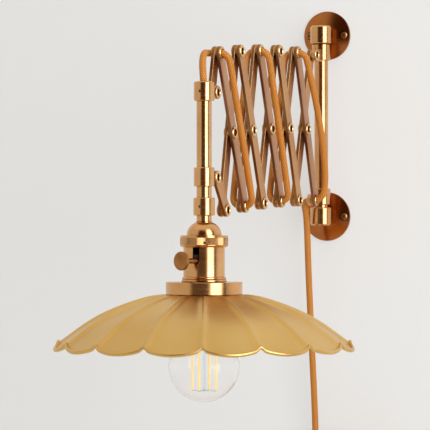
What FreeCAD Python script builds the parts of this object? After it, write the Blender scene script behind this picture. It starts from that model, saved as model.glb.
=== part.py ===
"""Accordion wall lamp: two wall plates, a swivelling rod, a five-unit scissor arm of flat bars,
a hanging stem with a keyed lampholder and scalloped shade, and a fabric cord threaded through
the arm's hollow rivets.  Millimetres, +Z up, wall on the plane y = 0, lamp towards -Y."""
import FreeCAD
import Part
import Sketcher
import math
import os
from FreeCAD import Placement, Rotation, Vector

# ---------------------------------------------------------------- driving sizes (mm, degrees)
sizes = {
    # wall plates and rod holders
    "plate_radius": 26.8, "plate_rim": 2.6, "plate_dome": 4.2,
    "screw_offset": 20.0, "shank_radius": 2.0, "shank_neck_radius": 2.3, "shank_length": 28.0,
    "screw_head_radius": 4.2, "screw_head_height": 1.8, "screw_recess": 1.0,
    "post_radius": 5.4, "post_seat": 3.2, "rod_offset": 20.0,
    "holder_radius": 12.0, "holder_height": 19.6, "holder_cap": 5.0,
    "edge_break": 0.8, "running_gap": 0.08, "collar_play": 0.7, "lug_play": 1.256,
    # rod, stem and their collars
    "rod_radius": 7.5, "stem_radius": 7.5, "stem_bore": 5.6,
    "collar_radius": 10.2, "wall_collar_height": 18.0, "stem_collar_height": 19.0,
    "stop_radius": 10.7, "stop_height": 17.8, "slide_gap": 0.3,
    "lug_reach": 25.0, "wall_lug_drop": 4.0, "grub_radius": 1.6, "grub_length": 2.4,
    # scissor bars and links
    "bar_width": 13.4, "bar_thickness": 3.5, "bar_edge": 0.5, "upper_half": 86.0, "lower_half": 81.0,
    "opening_angle": 18.1, "link_length": 41.5, "link_run": 10.1,
    # hollow rivets and spacers
    "rivet_bore": 3.7, "rivet_radius": 4.6, "flange_radius": 6.4, "flange_thickness": 1.2,
    "spacer_radius": 6.4, "spacer_thickness": 1.5, "fixed_gap": 0.03, "open_pivot_gap": 0.35,
    # stem and lampholder, top to bottom
    "stem_rise": 10.0, "stop_drop": 20.6, "cap_drop": 44.5, "nipple_radius": 5.4,
    "nipple_bore": 3.9, "nipple_in_stem": 11.0, "nipple_in_cap": 5.5,
    "cap_radius": 17.3, "cap_height": 13.6, "cap_collar": 8.6, "cap_flange_radius": 20.2,
    "ring_radius": 24.0, "ring_height": 11.6, "ring_lip": 3.0, "sheet_wall": 0.9,
    "shell_radius": 20.6, "shell_length": 29.4, "bead_height": 5.2, "bead_radius": 22.6,
    "key_slot_width": 7.0, "key_drop": 13.4, "key_radius": 2.65, "key_length": 25.1,
    "knob_radius": 9.3, "knob_thickness": 3.2, "key_angle": 16.0, "key_seat": 3.9,
    "pilot_radius": 1.3, "pilot_angle": 24.7,
    "liner_wall": 0.5, "core_disc": 12.0, "skirt_radius": 15.8, "skirt_wall": 1.5,
    "skirt_below": 9.6, "thread_shell_radius": 14.2, "thread_shell_wall": 0.6,
    "contact_radius": 4.0, "contact_height": 3.0, "core_recess": 2.0, "core_rise": 6.0,
    # shade and its fitter
    "fitter_radius": 38.1, "fitter_height": 12.2, "fitter_wall": 1.3,
    "neck_hole": 16.2, "neck_radius": 36.6, "shade_wall": 1.0, "clamp_radius": 22.5, "clamp_height": 5.0,
    "shade_tip_radius": 150.6, "shade_cusp_radius": 146.2, "shade_depth": 53.2, "cusp_lift": 6.0,
    "petal_count": 16, "lip_radius": 1.5,
    # bulb
    "globe_radius": 35.5, "globe_drop": 71.6, "neck_glass_radius": 15.2, "glass_wall": 0.9,
    "base_radius": 13.1, "base_length": 24.0, "base_pitch": 3.6, "base_thread": 0.5,
    "filament_radius": 1.0, "filament_circle": 12.9, "filament_length": 40.0, "filament_low": 24.0,
    "wire_radius": 0.5, "mast_radius": 1.3, "mount_radius": 5.0, "mount_length": 34.0,
    "mount_in_base": 10.0, "mast_in_mount": 4.0, "glass_in_base": 12.0,
    # cord, coil and plug
    "cord_radius": 3.5, "cord_stand": 11.2, "coil_inner": 30.4, "coil_step": 8.3,
    "coil_turns_per_layer": 1.5, "coil_layers": 4, "coil_drop": 302.0, "coil_tail": 26.0,
    "tie_width": 14.0, "tie_thickness": 1.2, "plug_length": 34.0, "plug_width": 25.0,
    "plug_depth": 16.0, "blade_length": 16.0, "blade_width": 6.3, "blade_thickness": 1.5,
    "blade_spacing": 12.7, "plug_nose": 12.0,
}

doc = FreeCAD.newDocument("accordion_wall_lamp")
sheet = doc.addObject("Spreadsheet::Sheet", "Sizes")
for row, (word, number) in enumerate(sizes.items(), start=1):
    sheet.set(f"A{row}", word)
    sheet.set(f"B{row}", str(number))
    sheet.setAlias(f"B{row}", word)
doc.recompute()


class Size:
    """A number together with the spreadsheet expression that gives it."""

    def __init__(self, value, text):
        self.value = value
        self.text = text

    def join(self, other, sign, value):
        text = other.text if isinstance(other, Size) else repr(float(other))
        return Size(value, f"({self.text} {sign} {text})")

    def __float__(self):
        return float(self.value)

    def __add__(self, other):
        return self.join(other, "+", float(self) + float(other))

    __radd__ = __add__

    def __sub__(self, other):
        return self.join(other, "-", float(self) - float(other))

    def __rsub__(self, other):
        return Size(float(other), repr(float(other))) - self

    def __mul__(self, other):
        return self.join(other, "*", float(self) * float(other))

    __rmul__ = __mul__

    def __truediv__(self, other):
        return self.join(other, "/", float(self) / float(other))


class Sheet:
    """Each driving size as an attribute."""


v = Sheet()
for word, number in sizes.items():
    setattr(v, word, Size(number, f"Sizes.{word}"))

X_AXIS, Y_AXIS, Z_AXIS = Vector(1, 0, 0), Vector(0, 1, 0), Vector(0, 0, 1)
TURN_TO_X = Rotation(Z_AXIS, X_AXIS)
TURN_TO_WALL = Rotation(Z_AXIS, Y_AXIS)
parts = {}


# ---------------------------------------------------------------- shared builders
def keep(item, label, place=None):
    """Take an object as the finished sub-part called label."""
    item.Label = label
    if place is not None:
        item.Placement = place
    parts[label] = item
    return item


def bind(item, name, size):
    if isinstance(size, Size):
        item.setExpression(name, size.text)
    else:
        setattr(item, name, size)


def origin_plane(body, role):
    return next(one for one in body.Origin.OriginFeatures if one.Role == role)


def pin_vertex(sketch, geometry, vertex, place):
    """Hold a sketch vertex at a place measured from the sketch's origin."""
    for kind, size in (("DistanceX", place[0]), ("DistanceY", place[1])):
        if abs(float(size)) < 1e-9:
            axis = -2 if kind == "DistanceX" else -1
            sketch.addConstraint(Sketcher.Constraint("PointOnObject", geometry, vertex, axis))
            continue
        row = sketch.addConstraint(Sketcher.Constraint(kind, -1, 1, geometry, vertex, float(size)))
        if isinstance(size, Size):
            sketch.setExpression(f"Constraints[{row}]", size.text)


def draw_outline(sketch, corners):
    """A closed outline through corners (x, y) or (x, y, radius): the radius bends the edge that
    leaves the corner, to the left of the way round when positive."""
    spots = [Vector(float(c[0]), float(c[1]), 0) for c in corners]
    count = len(corners)
    for index, corner in enumerate(corners):
        start, end = spots[index], spots[(index + 1) % count]
        if len(corner) == 2:
            sketch.addGeometry(Part.LineSegment(start, end))
            continue
        radius = float(corner[2])
        chord = end - start
        middle = (start + end) / 2
        side = Vector(-chord.y, chord.x, 0).normalize() * (1 if radius > 0 else -1)
        centre = middle + side * math.sqrt(radius ** 2 - (chord.Length / 2) ** 2)
        first = math.atan2(start.y - centre.y, start.x - centre.x)
        last = math.atan2(end.y - centre.y, end.x - centre.x)
        circle = Part.Circle(centre, Z_AXIS, abs(radius))
        span = (first, last) if radius > 0 else (last, first)
        sketch.addGeometry(Part.ArcOfCircle(circle, *span))
    for index, corner in enumerate(corners):
        turned_back = len(corner) == 3 and float(corner[2]) < 0
        following = (index + 1) % count
        next_back = len(corners[following]) == 3 and float(corners[following][2]) < 0
        sketch.addConstraint(Sketcher.Constraint(
            "Coincident", index, 1 if turned_back else 2, following, 2 if next_back else 1))
        pin_vertex(sketch, index, 2 if turned_back else 1, corner)
        if len(corner) == 3:
            size = corner[2] if float(corner[2]) > 0 else corner[2] * -1.0
            row = sketch.addConstraint(Sketcher.Constraint("Radius", index, float(size)))
            if isinstance(size, Size):
                sketch.setExpression(f"Constraints[{row}]", size.text)


def new_sketch(body, name, role):
    sketch = body.newObject("Sketcher::SketchObject", name)
    sketch.AttachmentSupport = [(origin_plane(body, role), "")]
    sketch.MapMode = "FlatFace"
    return sketch


def turned(name, outline):
    """A body turned about its own Z axis from an outline of (radius, height) corners."""
    body = doc.addObject("PartDesign::Body", name)
    sketch = new_sketch(body, name + "_profile", "XZ_Plane")
    draw_outline(sketch, outline)
    turn = body.newObject("PartDesign::Revolution", name + "_turn")
    turn.Profile = sketch
    turn.ReferenceAxis = (sketch, ["V_Axis"])
    turn.Angle = 360.0
    sketch.Visibility = False
    return body


def cylinder(name, radius, height, place):
    item = doc.addObject("Part::Cylinder", name)
    bind(item, "Radius", radius)
    bind(item, "Height", height)
    item.Placement = place
    return item


def box(name, length, width, height, place):
    item = doc.addObject("Part::Box", name)
    bind(item, "Length", length)
    bind(item, "Width", width)
    bind(item, "Height", height)
    item.Placement = place
    return item


def cut(name, base, tools):
    """The base with every tool taken away."""
    for number, tool in enumerate(tools, start=1):
        item = doc.addObject("Part::Cut", f"{name}_cut{number}")
        item.Base = base
        item.Tool = tool
        base = item
    return base


def fused(name, pieces):
    item = doc.addObject("Part::MultiFuse", name)
    item.Shapes = pieces
    item.Refine = True
    return item


def group(label, pieces):
    """Several separate solids kept as one sub-part."""
    item = doc.addObject("Part::Compound", label + "_group")
    item.Links = pieces
    return keep(item, label)


def at(x, y, z, rotation=None):
    return Placement(Vector(float(x), float(y), float(z)), rotation or Rotation())


def ring_outline(outer, inner, height, edge):
    """A plain sleeve with its outer edges broken."""
    return [(inner, 0), (outer - edge, 0), (outer, edge), (outer, height - edge),
            (outer - edge, height), (inner, height)]


# ---------------------------------------------------------------- where the pivots are
def arm_pivots():
    """Pivot places (reach from the wall, height above T6) of the scissor arm.  The upper halves
    of the bars are longer than the lower halves, so each unit leans a little further."""
    upper, lower = float(v.upper_half), float(v.lower_half)
    spread = 2 * math.radians(float(v.opening_angle))
    lean = math.atan2(lower * math.sin(spread), upper + lower * math.cos(spread))
    place = {}
    place["T6"] = Vector(float(v.rod_offset + v.lug_reach), 0, 0)
    place["M5"] = place["T6"] + Vector(math.sin(lean), -math.cos(lean), 0) * upper
    back = Vector(-math.sin(spread - lean), -math.cos(spread - lean), 0)
    place["B6"] = place["M5"] + back * lower
    place["T5"] = place["M5"] - back * upper
    place["B5"] = place["M5"] + (place["M5"] - place["T6"]).normalize() * lower
    for unit in (4, 3, 2, 1):
        top, bottom, middle = place[f"T{unit + 1}"], place[f"B{unit + 1}"], place[f"M{unit + 1}"]
        line = (top - bottom).normalize()
        offset = middle - bottom
        mirrored = bottom + line * (2 * offset.dot(line)) - offset
        place[f"M{unit}"] = mirrored
        place[f"T{unit}"] = mirrored + (mirrored - bottom).normalize() * upper
        place[f"B{unit}"] = mirrored + (mirrored - top).normalize() * lower
    return place


# the wall end of the arm spans the rod between its two holders, with a little play at each end
pivot = arm_pivots()
above_top = v.wall_lug_drop + v.wall_collar_height / 2 + v.collar_play + v.holder_height / 2
below_low = v.bar_width / 2 + v.lug_play + v.holder_height / 2
plate_spacing = above_top + below_low + (pivot["T6"].y - pivot["B6"].y)
for place in pivot.values():
    place.y += float(plate_spacing / 2 - above_top)
link = float(v.link_length)
front_reach = pivot["T1"].x + float(v.link_run)
pivot["C1"] = Vector(front_reach, pivot["T1"].y - math.sqrt(link ** 2 - float(v.link_run) ** 2), 0)
lower_run = front_reach - pivot["B1"].x
pivot["C2"] = Vector(front_reach, pivot["B1"].y + math.sqrt(link ** 2 - lower_run ** 2), 0)
stem_y = -(front_reach + float(v.lug_reach))
rod_y = -float(v.rod_offset)
half_stack = float(v.spacer_thickness) / 2 + float(v.bar_thickness)
UNITS = (1, 2, 3, 4, 5)


def spot(name, x=0.0):
    """A pivot's place in space, x to the right of the arm's middle plane."""
    return Vector(x, -pivot[name].x, pivot[name].y)


def layer_start(side):
    """Where the right (+1) or left (-1) layer of bars begins along X."""
    return float(v.spacer_thickness) / 2 if side > 0 else -half_stack


# ---------------------------------------------------------------- flat bars, links and lugs
def flat_bar(label, start, end, holes, side):
    """A flat bar with round ends, from pivot start to pivot end, with holes at distances along
    it: holes is a list of (distance, radius)."""
    body = doc.addObject("PartDesign::Body", label + "_body")
    sketch = new_sketch(body, label + "_outline", "XY_Plane")
    length = holes[-1][0]
    half = v.bar_width / 2
    reach = float(length)
    wide = float(half)
    far = Part.Circle(Vector(reach, 0, 0), Z_AXIS, wide)
    near = Part.Circle(Vector(0, 0, 0), Z_AXIS, wide)
    sketch.addGeometry(Part.LineSegment(Vector(0, -wide, 0), Vector(reach, -wide, 0)))
    sketch.addGeometry(Part.ArcOfCircle(far, -math.pi / 2, math.pi / 2))
    sketch.addGeometry(Part.LineSegment(Vector(reach, wide, 0), Vector(0, wide, 0)))
    sketch.addGeometry(Part.ArcOfCircle(near, math.pi / 2, 3 * math.pi / 2))
    for first, second in ((0, 1), (1, 2), (2, 3), (3, 0)):
        sketch.addConstraint(Sketcher.Constraint("Tangent", first, 2, second, 1))
    sketch.addConstraint(Sketcher.Constraint("Coincident", 3, 3, -1, 1))
    sketch.addConstraint(Sketcher.Constraint("PointOnObject", 1, 3, -1))
    row = sketch.addConstraint(Sketcher.Constraint("Radius", 3, wide))
    sketch.setExpression(f"Constraints[{row}]", half.text)
    row = sketch.addConstraint(Sketcher.Constraint("DistanceX", -1, 1, 1, 3, reach))
    sketch.setExpression(f"Constraints[{row}]", length.text)
    for distance, radius in holes:
        circle = Part.Circle(Vector(float(distance), 0, 0), Z_AXIS, float(radius))
        hole = sketch.addGeometry(circle)
        row = sketch.addConstraint(Sketcher.Constraint("Radius", hole, float(radius)))
        sketch.setExpression(f"Constraints[{row}]", radius.text)
        if float(distance) == 0:
            sketch.addConstraint(Sketcher.Constraint("Coincident", hole, 3, -1, 1))
        else:
            sketch.addConstraint(Sketcher.Constraint("PointOnObject", hole, 3, -1))
            row = sketch.addConstraint(
                Sketcher.Constraint("DistanceX", -1, 1, hole, 3, float(distance)))
            sketch.setExpression(f"Constraints[{row}]", distance.text)
    pad = body.newObject("PartDesign::Pad", label + "_pad")
    pad.Profile = sketch
    bind(pad, "Length", v.bar_thickness)
    sketch.Visibility = False
    doc.recompute()
    rims = []
    for number, edge in enumerate(pad.Shape.Edges, start=1):
        box_of = edge.BoundBox
        flat = box_of.ZLength < 1e-6
        outside = edge.Length > 4 * float(v.rivet_radius) and max(
            abs(box_of.YMin), abs(box_of.YMax)) > wide - 1e-3
        if flat and outside:
            rims.append(f"Edge{number}")
    rounding = body.newObject("PartDesign::Fillet", label + "_edges")
    rounding.Base = (pad, rims)
    bind(rounding, "Radius", v.bar_edge)
    body.Tip = rounding
    run = spot(end) - spot(start)
    flat_y = X_AXIS.cross(run.normalize())
    turn = Rotation(run, flat_y, X_AXIS, "ZXY")
    return keep(body, label, Placement(spot(start, layer_start(side)), turn))


zero = Size(0.0, "0.0")
carried = v.rivet_radius + v.fixed_gap
running = v.rivet_radius + v.running_gap
loose = v.rivet_radius + v.open_pivot_gap
full_bar = v.upper_half + v.lower_half
for unit in UNITS:
    flat_bar(f"right_bar_{unit}", f"T{unit}", f"B{unit + 1}",
             [(zero, carried), (v.upper_half, carried), (full_bar, carried)], 1)
    flat_bar(f"left_bar_{unit}", f"T{unit + 1}", f"B{unit}",
             [(zero, carried if unit == 5 else running), (v.upper_half, running),
              (full_bar, running if unit == 1 else loose)], -1)
flat_bar("top_link", "T1", "C1", [(zero, running), (v.link_length, carried)], -1)
flat_bar("bottom_link", "B1", "C2", [(zero, carried), (v.link_length, carried)], 1)


def lugged_collar(label, bore, height, centre, pivot_name, side):
    """A collar round a vertical rod with a flat lug reaching to a pivot."""
    middle = spot(pivot_name)
    reach = 1 if middle.y > centre.y else -1
    base = centre - Z_AXIS * (float(height) / 2)
    outline = ring_outline(v.collar_radius, bore, height, v.edge_break)
    sleeve = turned(label + "_sleeve", outline)
    sleeve.Placement = Placement(base, Rotation())
    half = v.bar_width / 2
    wall = (v.collar_radius + bore) / 2
    start_y = centre.y + reach * float(wall)
    turn = Rotation(Z_AXIS, 0 if reach > 0 else 180)
    left_x = layer_start(side) if reach > 0 else layer_start(side) + float(v.bar_thickness)
    tongue = box(label + "_tongue", v.bar_thickness, v.lug_reach - wall, v.bar_width,
                 Placement(Vector(left_x, start_y, middle.z - float(half)), turn))
    tip = cylinder(label + "_tip", half, v.bar_thickness,
                   Placement(Vector(layer_start(side), middle.y, middle.z), TURN_TO_X))
    solid = fused(label + "_joined", [sleeve, tongue, tip])
    hole = cylinder(label + "_hole", running, v.bar_thickness * 3,
                    Placement(Vector(layer_start(side) - float(v.bar_thickness), middle.y,
                                     middle.z), TURN_TO_X))
    clear = cylinder(label + "_bore", bore, height * 2,
                     Placement(centre - Z_AXIS * float(height), Rotation()))
    tools = [hole, clear]
    if label in ("upper_wall_collar", "upper_stem_collar"):
        tools.append(grub_hole(label, centre, -reach, v.collar_radius))
    return keep(cut(label, solid, tools), label)


def grub_hole(label, centre, way, radius):
    """A threaded cross hole for a grub screw, on the face away from the lug."""
    turn = Rotation(Z_AXIS, Y_AXIS * way)
    return cylinder(label + "_grub_hole", v.grub_radius + v.fixed_gap, radius,
                    Placement(centre + Y_AXIS * way * 0.5, turn))


rod_bore = v.rod_radius + v.fixed_gap
slide_bore = v.rod_radius + v.slide_gap
upper_collar_at = Vector(0, rod_y, pivot["T6"].y + float(v.wall_lug_drop))
lower_collar_at = Vector(0, rod_y, pivot["B6"].y + float(v.wall_lug_drop))
lugged_collar("upper_wall_collar", rod_bore, v.wall_collar_height, upper_collar_at, "T6", 1)
lugged_collar("lower_wall_collar", slide_bore, v.wall_collar_height, lower_collar_at, "B6", -1)
upper_stem_at = Vector(0, stem_y, pivot["C1"].y)
lower_stem_at = Vector(0, stem_y, pivot["C2"].y)
lugged_collar("upper_stem_collar", v.stem_radius + v.fixed_gap, v.stem_collar_height,
              upper_stem_at, "C1", 1)
lugged_collar("lower_stem_collar", v.stem_radius + v.slide_gap, v.stem_collar_height,
              lower_stem_at, "C2", -1)
stop_top = pivot["C2"].y - float(v.stop_drop)
stop_at = Vector(0, stem_y, stop_top - float(v.stop_height) / 2)
stop_sleeve = turned("stop_sleeve", ring_outline(v.stop_radius, v.stem_radius + v.fixed_gap,
                                                 v.stop_height, v.edge_break))
stop_sleeve.Placement = at(0, stem_y, stop_top - float(v.stop_height))
keep(cut("stop_collar", stop_sleeve, [grub_hole("stop_collar", stop_at, -1, v.stop_radius)]),
     "stop_collar")


def grub_screw(name, centre, way, collar_radius):
    body = turned(name, [(0, 0), (v.grub_radius, 0), (v.grub_radius, v.grub_length),
                         (0.8, v.grub_length), (0.8, v.grub_length - 1.0),
                         (0, v.grub_length - 1.0)])
    start = centre + Y_AXIS * way * (float(collar_radius) - 0.3 - float(v.grub_length))
    body.Placement = Placement(start, Rotation(Z_AXIS, Y_AXIS * way))
    return body


keep(grub_screw("wall_grub", upper_collar_at, 1, v.collar_radius), "wall_grub_screw")
group("stem_grub_screws", [grub_screw("stem_grub_1", upper_stem_at, -1, v.collar_radius),
                           grub_screw("stem_grub_2", stop_at, -1, v.stop_radius)])


# ---------------------------------------------------------------- hollow rivets and spacers
def rivet(name, pivot_name):
    edge = v.flange_thickness / 2
    total = v.bar_thickness * 2 + v.spacer_thickness + v.flange_thickness * 2
    inner = v.rivet_bore
    body = turned(name, [
        (inner, edge), (inner + edge, 0), (v.flange_radius - edge, 0), (v.flange_radius, edge),
        (v.flange_radius, v.flange_thickness), (v.rivet_radius, v.flange_thickness),
        (v.rivet_radius, total - v.flange_thickness), (v.flange_radius, total - v.flange_thickness),
        (v.flange_radius, total - edge), (v.flange_radius - edge, total),
        (inner + edge, total), (inner, total - edge)])
    start = -half_stack - float(v.flange_thickness)
    body.Placement = Placement(spot(pivot_name, start), TURN_TO_X)
    return body


def spacer(name, pivot_name):
    body = turned(name, ring_outline(v.spacer_radius, v.rivet_radius + v.running_gap,
                                     v.spacer_thickness, v.spacer_thickness / 5))
    start = -float(v.spacer_thickness) / 2
    body.Placement = Placement(spot(pivot_name, start), TURN_TO_X)
    return body


def rivet_set(label, names):
    pieces = []
    for name in names:
        pieces.append(rivet(f"{label}_{name}", name))
        pieces.append(spacer(f"{label}_spacer_{name}", name))
    group(label, pieces)


for unit in UNITS:
    rivet_set(f"bar_rivets_{unit}", [f"T{unit}", f"M{unit}", f"B{unit + 1}"])
rivet_set("wall_rivet", ["T6"])
rivet_set("top_link_rivet", ["C1"])
rivet_set("bottom_link_rivets", ["B1", "C2"])


# ---------------------------------------------------------------- wall plates, holders and rod
def wall_plate(label, height):
    rim = cylinder(label + "_rim", v.plate_radius, v.plate_rim, at(0, 0, 0))
    cap_radius = (v.plate_radius * v.plate_radius + v.plate_dome * v.plate_dome) / (
        v.plate_dome * 2)
    ball = doc.addObject("Part::Sphere", label + "_ball")
    bind(ball, "Radius", cap_radius)
    ball.Placement = at(0, 0, float(v.plate_rim + v.plate_dome - cap_radius))
    disc = cylinder(label + "_disc", v.plate_radius, v.plate_dome * 2, at(0, 0, v.plate_rim))
    dome = doc.addObject("Part::Common", label + "_dome")
    dome.Base = ball
    dome.Tool = disc
    seat = v.rod_offset - v.holder_radius + v.post_seat
    post = cylinder(label + "_post", v.post_radius, seat, at(0, 0, 0))
    solid = fused(label + "_solid", [rim, dome, post])
    holes = []
    for side in (-1, 1):
        holes.append(cylinder(f"{label}_screw_hole{side + 1}", v.shank_neck_radius + v.running_gap,
                              v.plate_rim + v.plate_dome, at(side * float(v.screw_offset), 0, 0)))
        holes.append(cylinder(f"{label}_screw_seat{side + 1}",
                              v.screw_head_radius + v.running_gap, v.plate_dome * 2,
                              at(side * float(v.screw_offset), 0, v.plate_rim)))
    place = Placement(Vector(0, 0, height), Rotation(X_AXIS, 90))
    keep(cut(label, solid, holes), label, place)


def rod_holder(label, way):
    """A vertical barrel on the plate's post, bored from its inner end for the rod."""
    depth = v.holder_height - v.holder_cap
    bore = v.rod_radius + v.running_gap
    edge = v.edge_break
    outer, tall = v.holder_radius, v.holder_height
    barrel = turned(label + "_barrel", [
        (0, depth), (bore, depth), (bore, 0), (outer - edge, 0), (outer, edge),
        (outer, tall - edge * 2), (outer - edge * 2, tall), (0, tall)])
    start = way * float(plate_spacing - v.holder_height) / 2
    turn = Rotation() if way > 0 else Rotation(X_AXIS, 180)
    barrel.Placement = Placement(Vector(0, rod_y, start), turn)
    seat = v.rod_offset - v.holder_radius + v.post_seat
    pocket = cylinder(label + "_pocket", v.post_radius + v.fixed_gap, seat + v.running_gap,
                      Placement(Vector(0, 0, way * float(plate_spacing) / 2),
                                Rotation(X_AXIS, 90)))
    keep(cut(label, barrel, [pocket]), label)


for name, way in (("top", 1), ("bottom", -1)):
    wall_plate(f"{name}_wall_plate", way * float(plate_spacing) / 2)
    rod_holder(f"{name}_rod_holder", way)

inner_gap = plate_spacing - v.holder_height
rod_length = inner_gap + (v.holder_height - v.holder_cap) * 2 - v.running_gap * 2
rod = turned("rod_body", ring_outline(v.rod_radius, zero, rod_length, v.edge_break))
keep(rod, "wall_rod", at(0, rod_y, -float(rod_length) / 2))


def wall_screw(name, x, z):
    head, shank = v.screw_head_radius, v.shank_radius
    back = v.shank_length
    seat = back + v.plate_rim
    top = seat + v.screw_head_height
    body = turned(name, [(0, 0), (shank * 0.4, 0), (shank, shank * 1.5), (shank, back - v.slide_gap),
                         (v.shank_neck_radius, back - v.slide_gap), (v.shank_neck_radius, seat),
                         (head, seat), (head, seat + v.screw_head_height / 2),
                         (head - v.screw_head_height / 2, top), (0, top)])
    cross = [box(f"{name}_slot{turn}", v.screw_head_radius * 1.2, 0.9, v.screw_recess * 2,
                 Placement(Vector(), Rotation())) for turn in (0, 1)]
    for turn, bar in enumerate(cross):
        spin = Rotation(Z_AXIS, 45 + 90 * turn)
        corner = spin.multVec(Vector(-0.6 * float(head), -0.45, 0))
        bar.Placement = Placement(corner + Z_AXIS * float(top - v.screw_recess), spin)
    item = cut(name + "_screw", body, cross)
    item.Placement = Placement(Vector(x, float(v.shank_length), z), Rotation(X_AXIS, 90))
    return item


screws = []
for row in (-1, 1):
    for column in (-1, 1):
        screws.append(wall_screw(f"wall_screw{row + 1}{column + 1}",
                                 column * float(v.screw_offset),
                                 row * float(plate_spacing) / 2))
group("wall_screws", screws)

# ---------------------------------------------------------------- stem and lampholder
stem_top = pivot["C1"].y + float(v.stem_rise)
cap_top = pivot["C2"].y - float(v.cap_drop)
stem_length = v.cap_drop + v.stem_rise + (pivot["C1"].y - pivot["C2"].y)
keep(turned("stem_body", ring_outline(v.stem_radius, v.stem_bore, stem_length, v.edge_break / 2)),
     "stem_tube", at(0, stem_y, cap_top))
keep(turned("nipple_body", ring_outline(v.nipple_radius, v.nipple_bore,
                                        v.nipple_in_stem + v.nipple_in_cap, v.edge_break / 2)),
     "threaded_nipple", at(0, stem_y, cap_top - float(v.nipple_in_cap)))

wall = v.sheet_wall
flange_drop = v.cap_height + v.ring_lip
cap = turned("cap_body", [
    (v.nipple_radius + v.fixed_gap, flange_drop), (v.nipple_radius + v.fixed_gap, flange_drop - 2.2),
    (v.cap_collar - wall, flange_drop - 2.2, v.cap_height * -1.0),
    (v.cap_radius - wall, v.ring_lip + wall), (v.cap_radius - wall, 0), (v.cap_flange_radius, 0),
    (v.cap_flange_radius, wall), (v.cap_radius, wall),
    (v.cap_radius, v.ring_lip + wall, v.cap_height), (v.cap_collar, flange_drop - 0.8),
    (v.cap_collar, flange_drop)])
keep(cap, "lampholder_cap", at(0, stem_y, cap_top - float(flange_drop)))

ring_top = cap_top - float(v.cap_height)
ring_low = ring_top - float(v.ring_height)
edge = v.edge_break
ring_body = turned("ring_body", [
    (v.shell_radius + v.running_gap, 0), (v.ring_radius - edge * 1.5, 0), (v.ring_radius, edge * 2),
    (v.ring_radius, v.ring_height - edge * 3), (v.ring_radius - edge, v.ring_height),
    (v.cap_radius + v.running_gap, v.ring_height),
    (v.cap_radius + v.running_gap, v.ring_height - v.ring_lip + wall + v.running_gap),
    (v.shell_radius + v.running_gap, v.ring_height - v.ring_lip + wall + v.running_gap)])
ring_body.Placement = at(0, stem_y, ring_low)
pilot_turn = Rotation(Z_AXIS, float(v.pilot_angle))
pilot_way = pilot_turn.multVec(Vector(0, -1, 0))
pilot = cylinder("pilot_hole", v.pilot_radius, v.ring_radius,
                 Placement(Vector(0, stem_y, ring_top - 0.62 * float(v.ring_height)) + pilot_way * 5,
                           Rotation(Z_AXIS, pilot_way)))
keep(cut("knurled_ring", ring_body, [pilot]), "knurled_ring")

shell_top = cap_top - float(flange_drop)
shell_hidden = v.ring_height - v.ring_lip
shell_low = ring_low - float(v.shell_length)
bead_low = shell_low - float(v.bead_height)
shell_tall = shell_hidden + v.shell_length + v.bead_height
inner = v.shell_radius - wall
shell_body = turned("shell_body", [
    (inner, 0), (v.bead_radius - 0.6, 0), (v.bead_radius, 0.6), (v.bead_radius, 1.8),
    (v.bead_radius - 0.9, 2.6), (v.bead_radius - 0.6, 3.4), (v.bead_radius - 0.8, 4.4),
    (v.shell_radius, v.bead_height), (v.shell_radius, shell_tall), (inner, shell_tall)])
shell_body.Placement = at(0, stem_y, bead_low)
key_height = ring_low - float(v.key_drop)
slot_tall = v.key_drop + shell_hidden
slot = box("key_slot", v.key_slot_width, v.shell_radius, slot_tall,
           at(-float(v.key_slot_width) / 2, stem_y - float(v.shell_radius) - 1, key_height))
slot_end = cylinder("key_slot_end", v.key_slot_width / 2, v.shell_radius,
                    Placement(Vector(0, stem_y - float(v.shell_radius) - 1, key_height),
                              Rotation(Z_AXIS, Y_AXIS)))
keep(cut("lampholder_shell", shell_body, [slot, slot_end]), "lampholder_shell")

liner_tall = shell_tall - 2.0
liner_radius = inner - v.running_gap
liner_body = turned("liner_body", [
    (liner_radius - v.liner_wall, 0), (liner_radius, 0), (liner_radius, liner_tall),
    (liner_radius - v.liner_wall, liner_tall)])
liner_body.Placement = at(0, stem_y, bead_low)
liner_slot = box("liner_slot", v.key_slot_width, v.shell_radius, slot_tall,
                 at(-float(v.key_slot_width) / 2, stem_y - float(v.shell_radius) - 1, key_height))
liner_end = cylinder("liner_slot_end", v.key_slot_width / 2, v.shell_radius,
                     Placement(Vector(0, stem_y - float(v.shell_radius) - 1, key_height),
                               Rotation(Z_AXIS, Y_AXIS)))
keep(cut("insulating_liner", liner_body, [liner_slot, liner_end]), "insulating_liner")

core_radius = liner_radius - v.liner_wall - v.running_gap
skirt_low = bead_low - float(v.skirt_below)
core_top = key_height + float(v.core_rise)
core_tall = core_top - skirt_low
bore_radius = v.skirt_radius - v.skirt_wall
disc_low = core_tall - float(v.core_disc)
core_floor = disc_low + v.core_recess
core_body = turned("core_body", [
    (bore_radius, 0), (v.skirt_radius, 0), (v.skirt_radius, disc_low), (core_radius, disc_low),
    (core_radius, core_tall), (0, core_tall), (0, core_floor), (bore_radius, core_floor)])
core_body.Placement = at(0, stem_y, skirt_low)
key_turn = Rotation(Z_AXIS, -float(v.key_angle))
key_way = key_turn.multVec(Vector(0, -1, 0))
key_entry = Vector(0, stem_y - float(v.shell_radius - v.sheet_wall), key_height)
key_well = cylinder("key_well", v.key_radius + v.running_gap, v.shell_radius,
                    Placement(key_entry - key_way * float(v.key_seat + v.slide_gap),
                              Rotation(Z_AXIS, key_way)))
keep(cut("socket_core", core_body, [key_well]), "socket_core")

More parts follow.
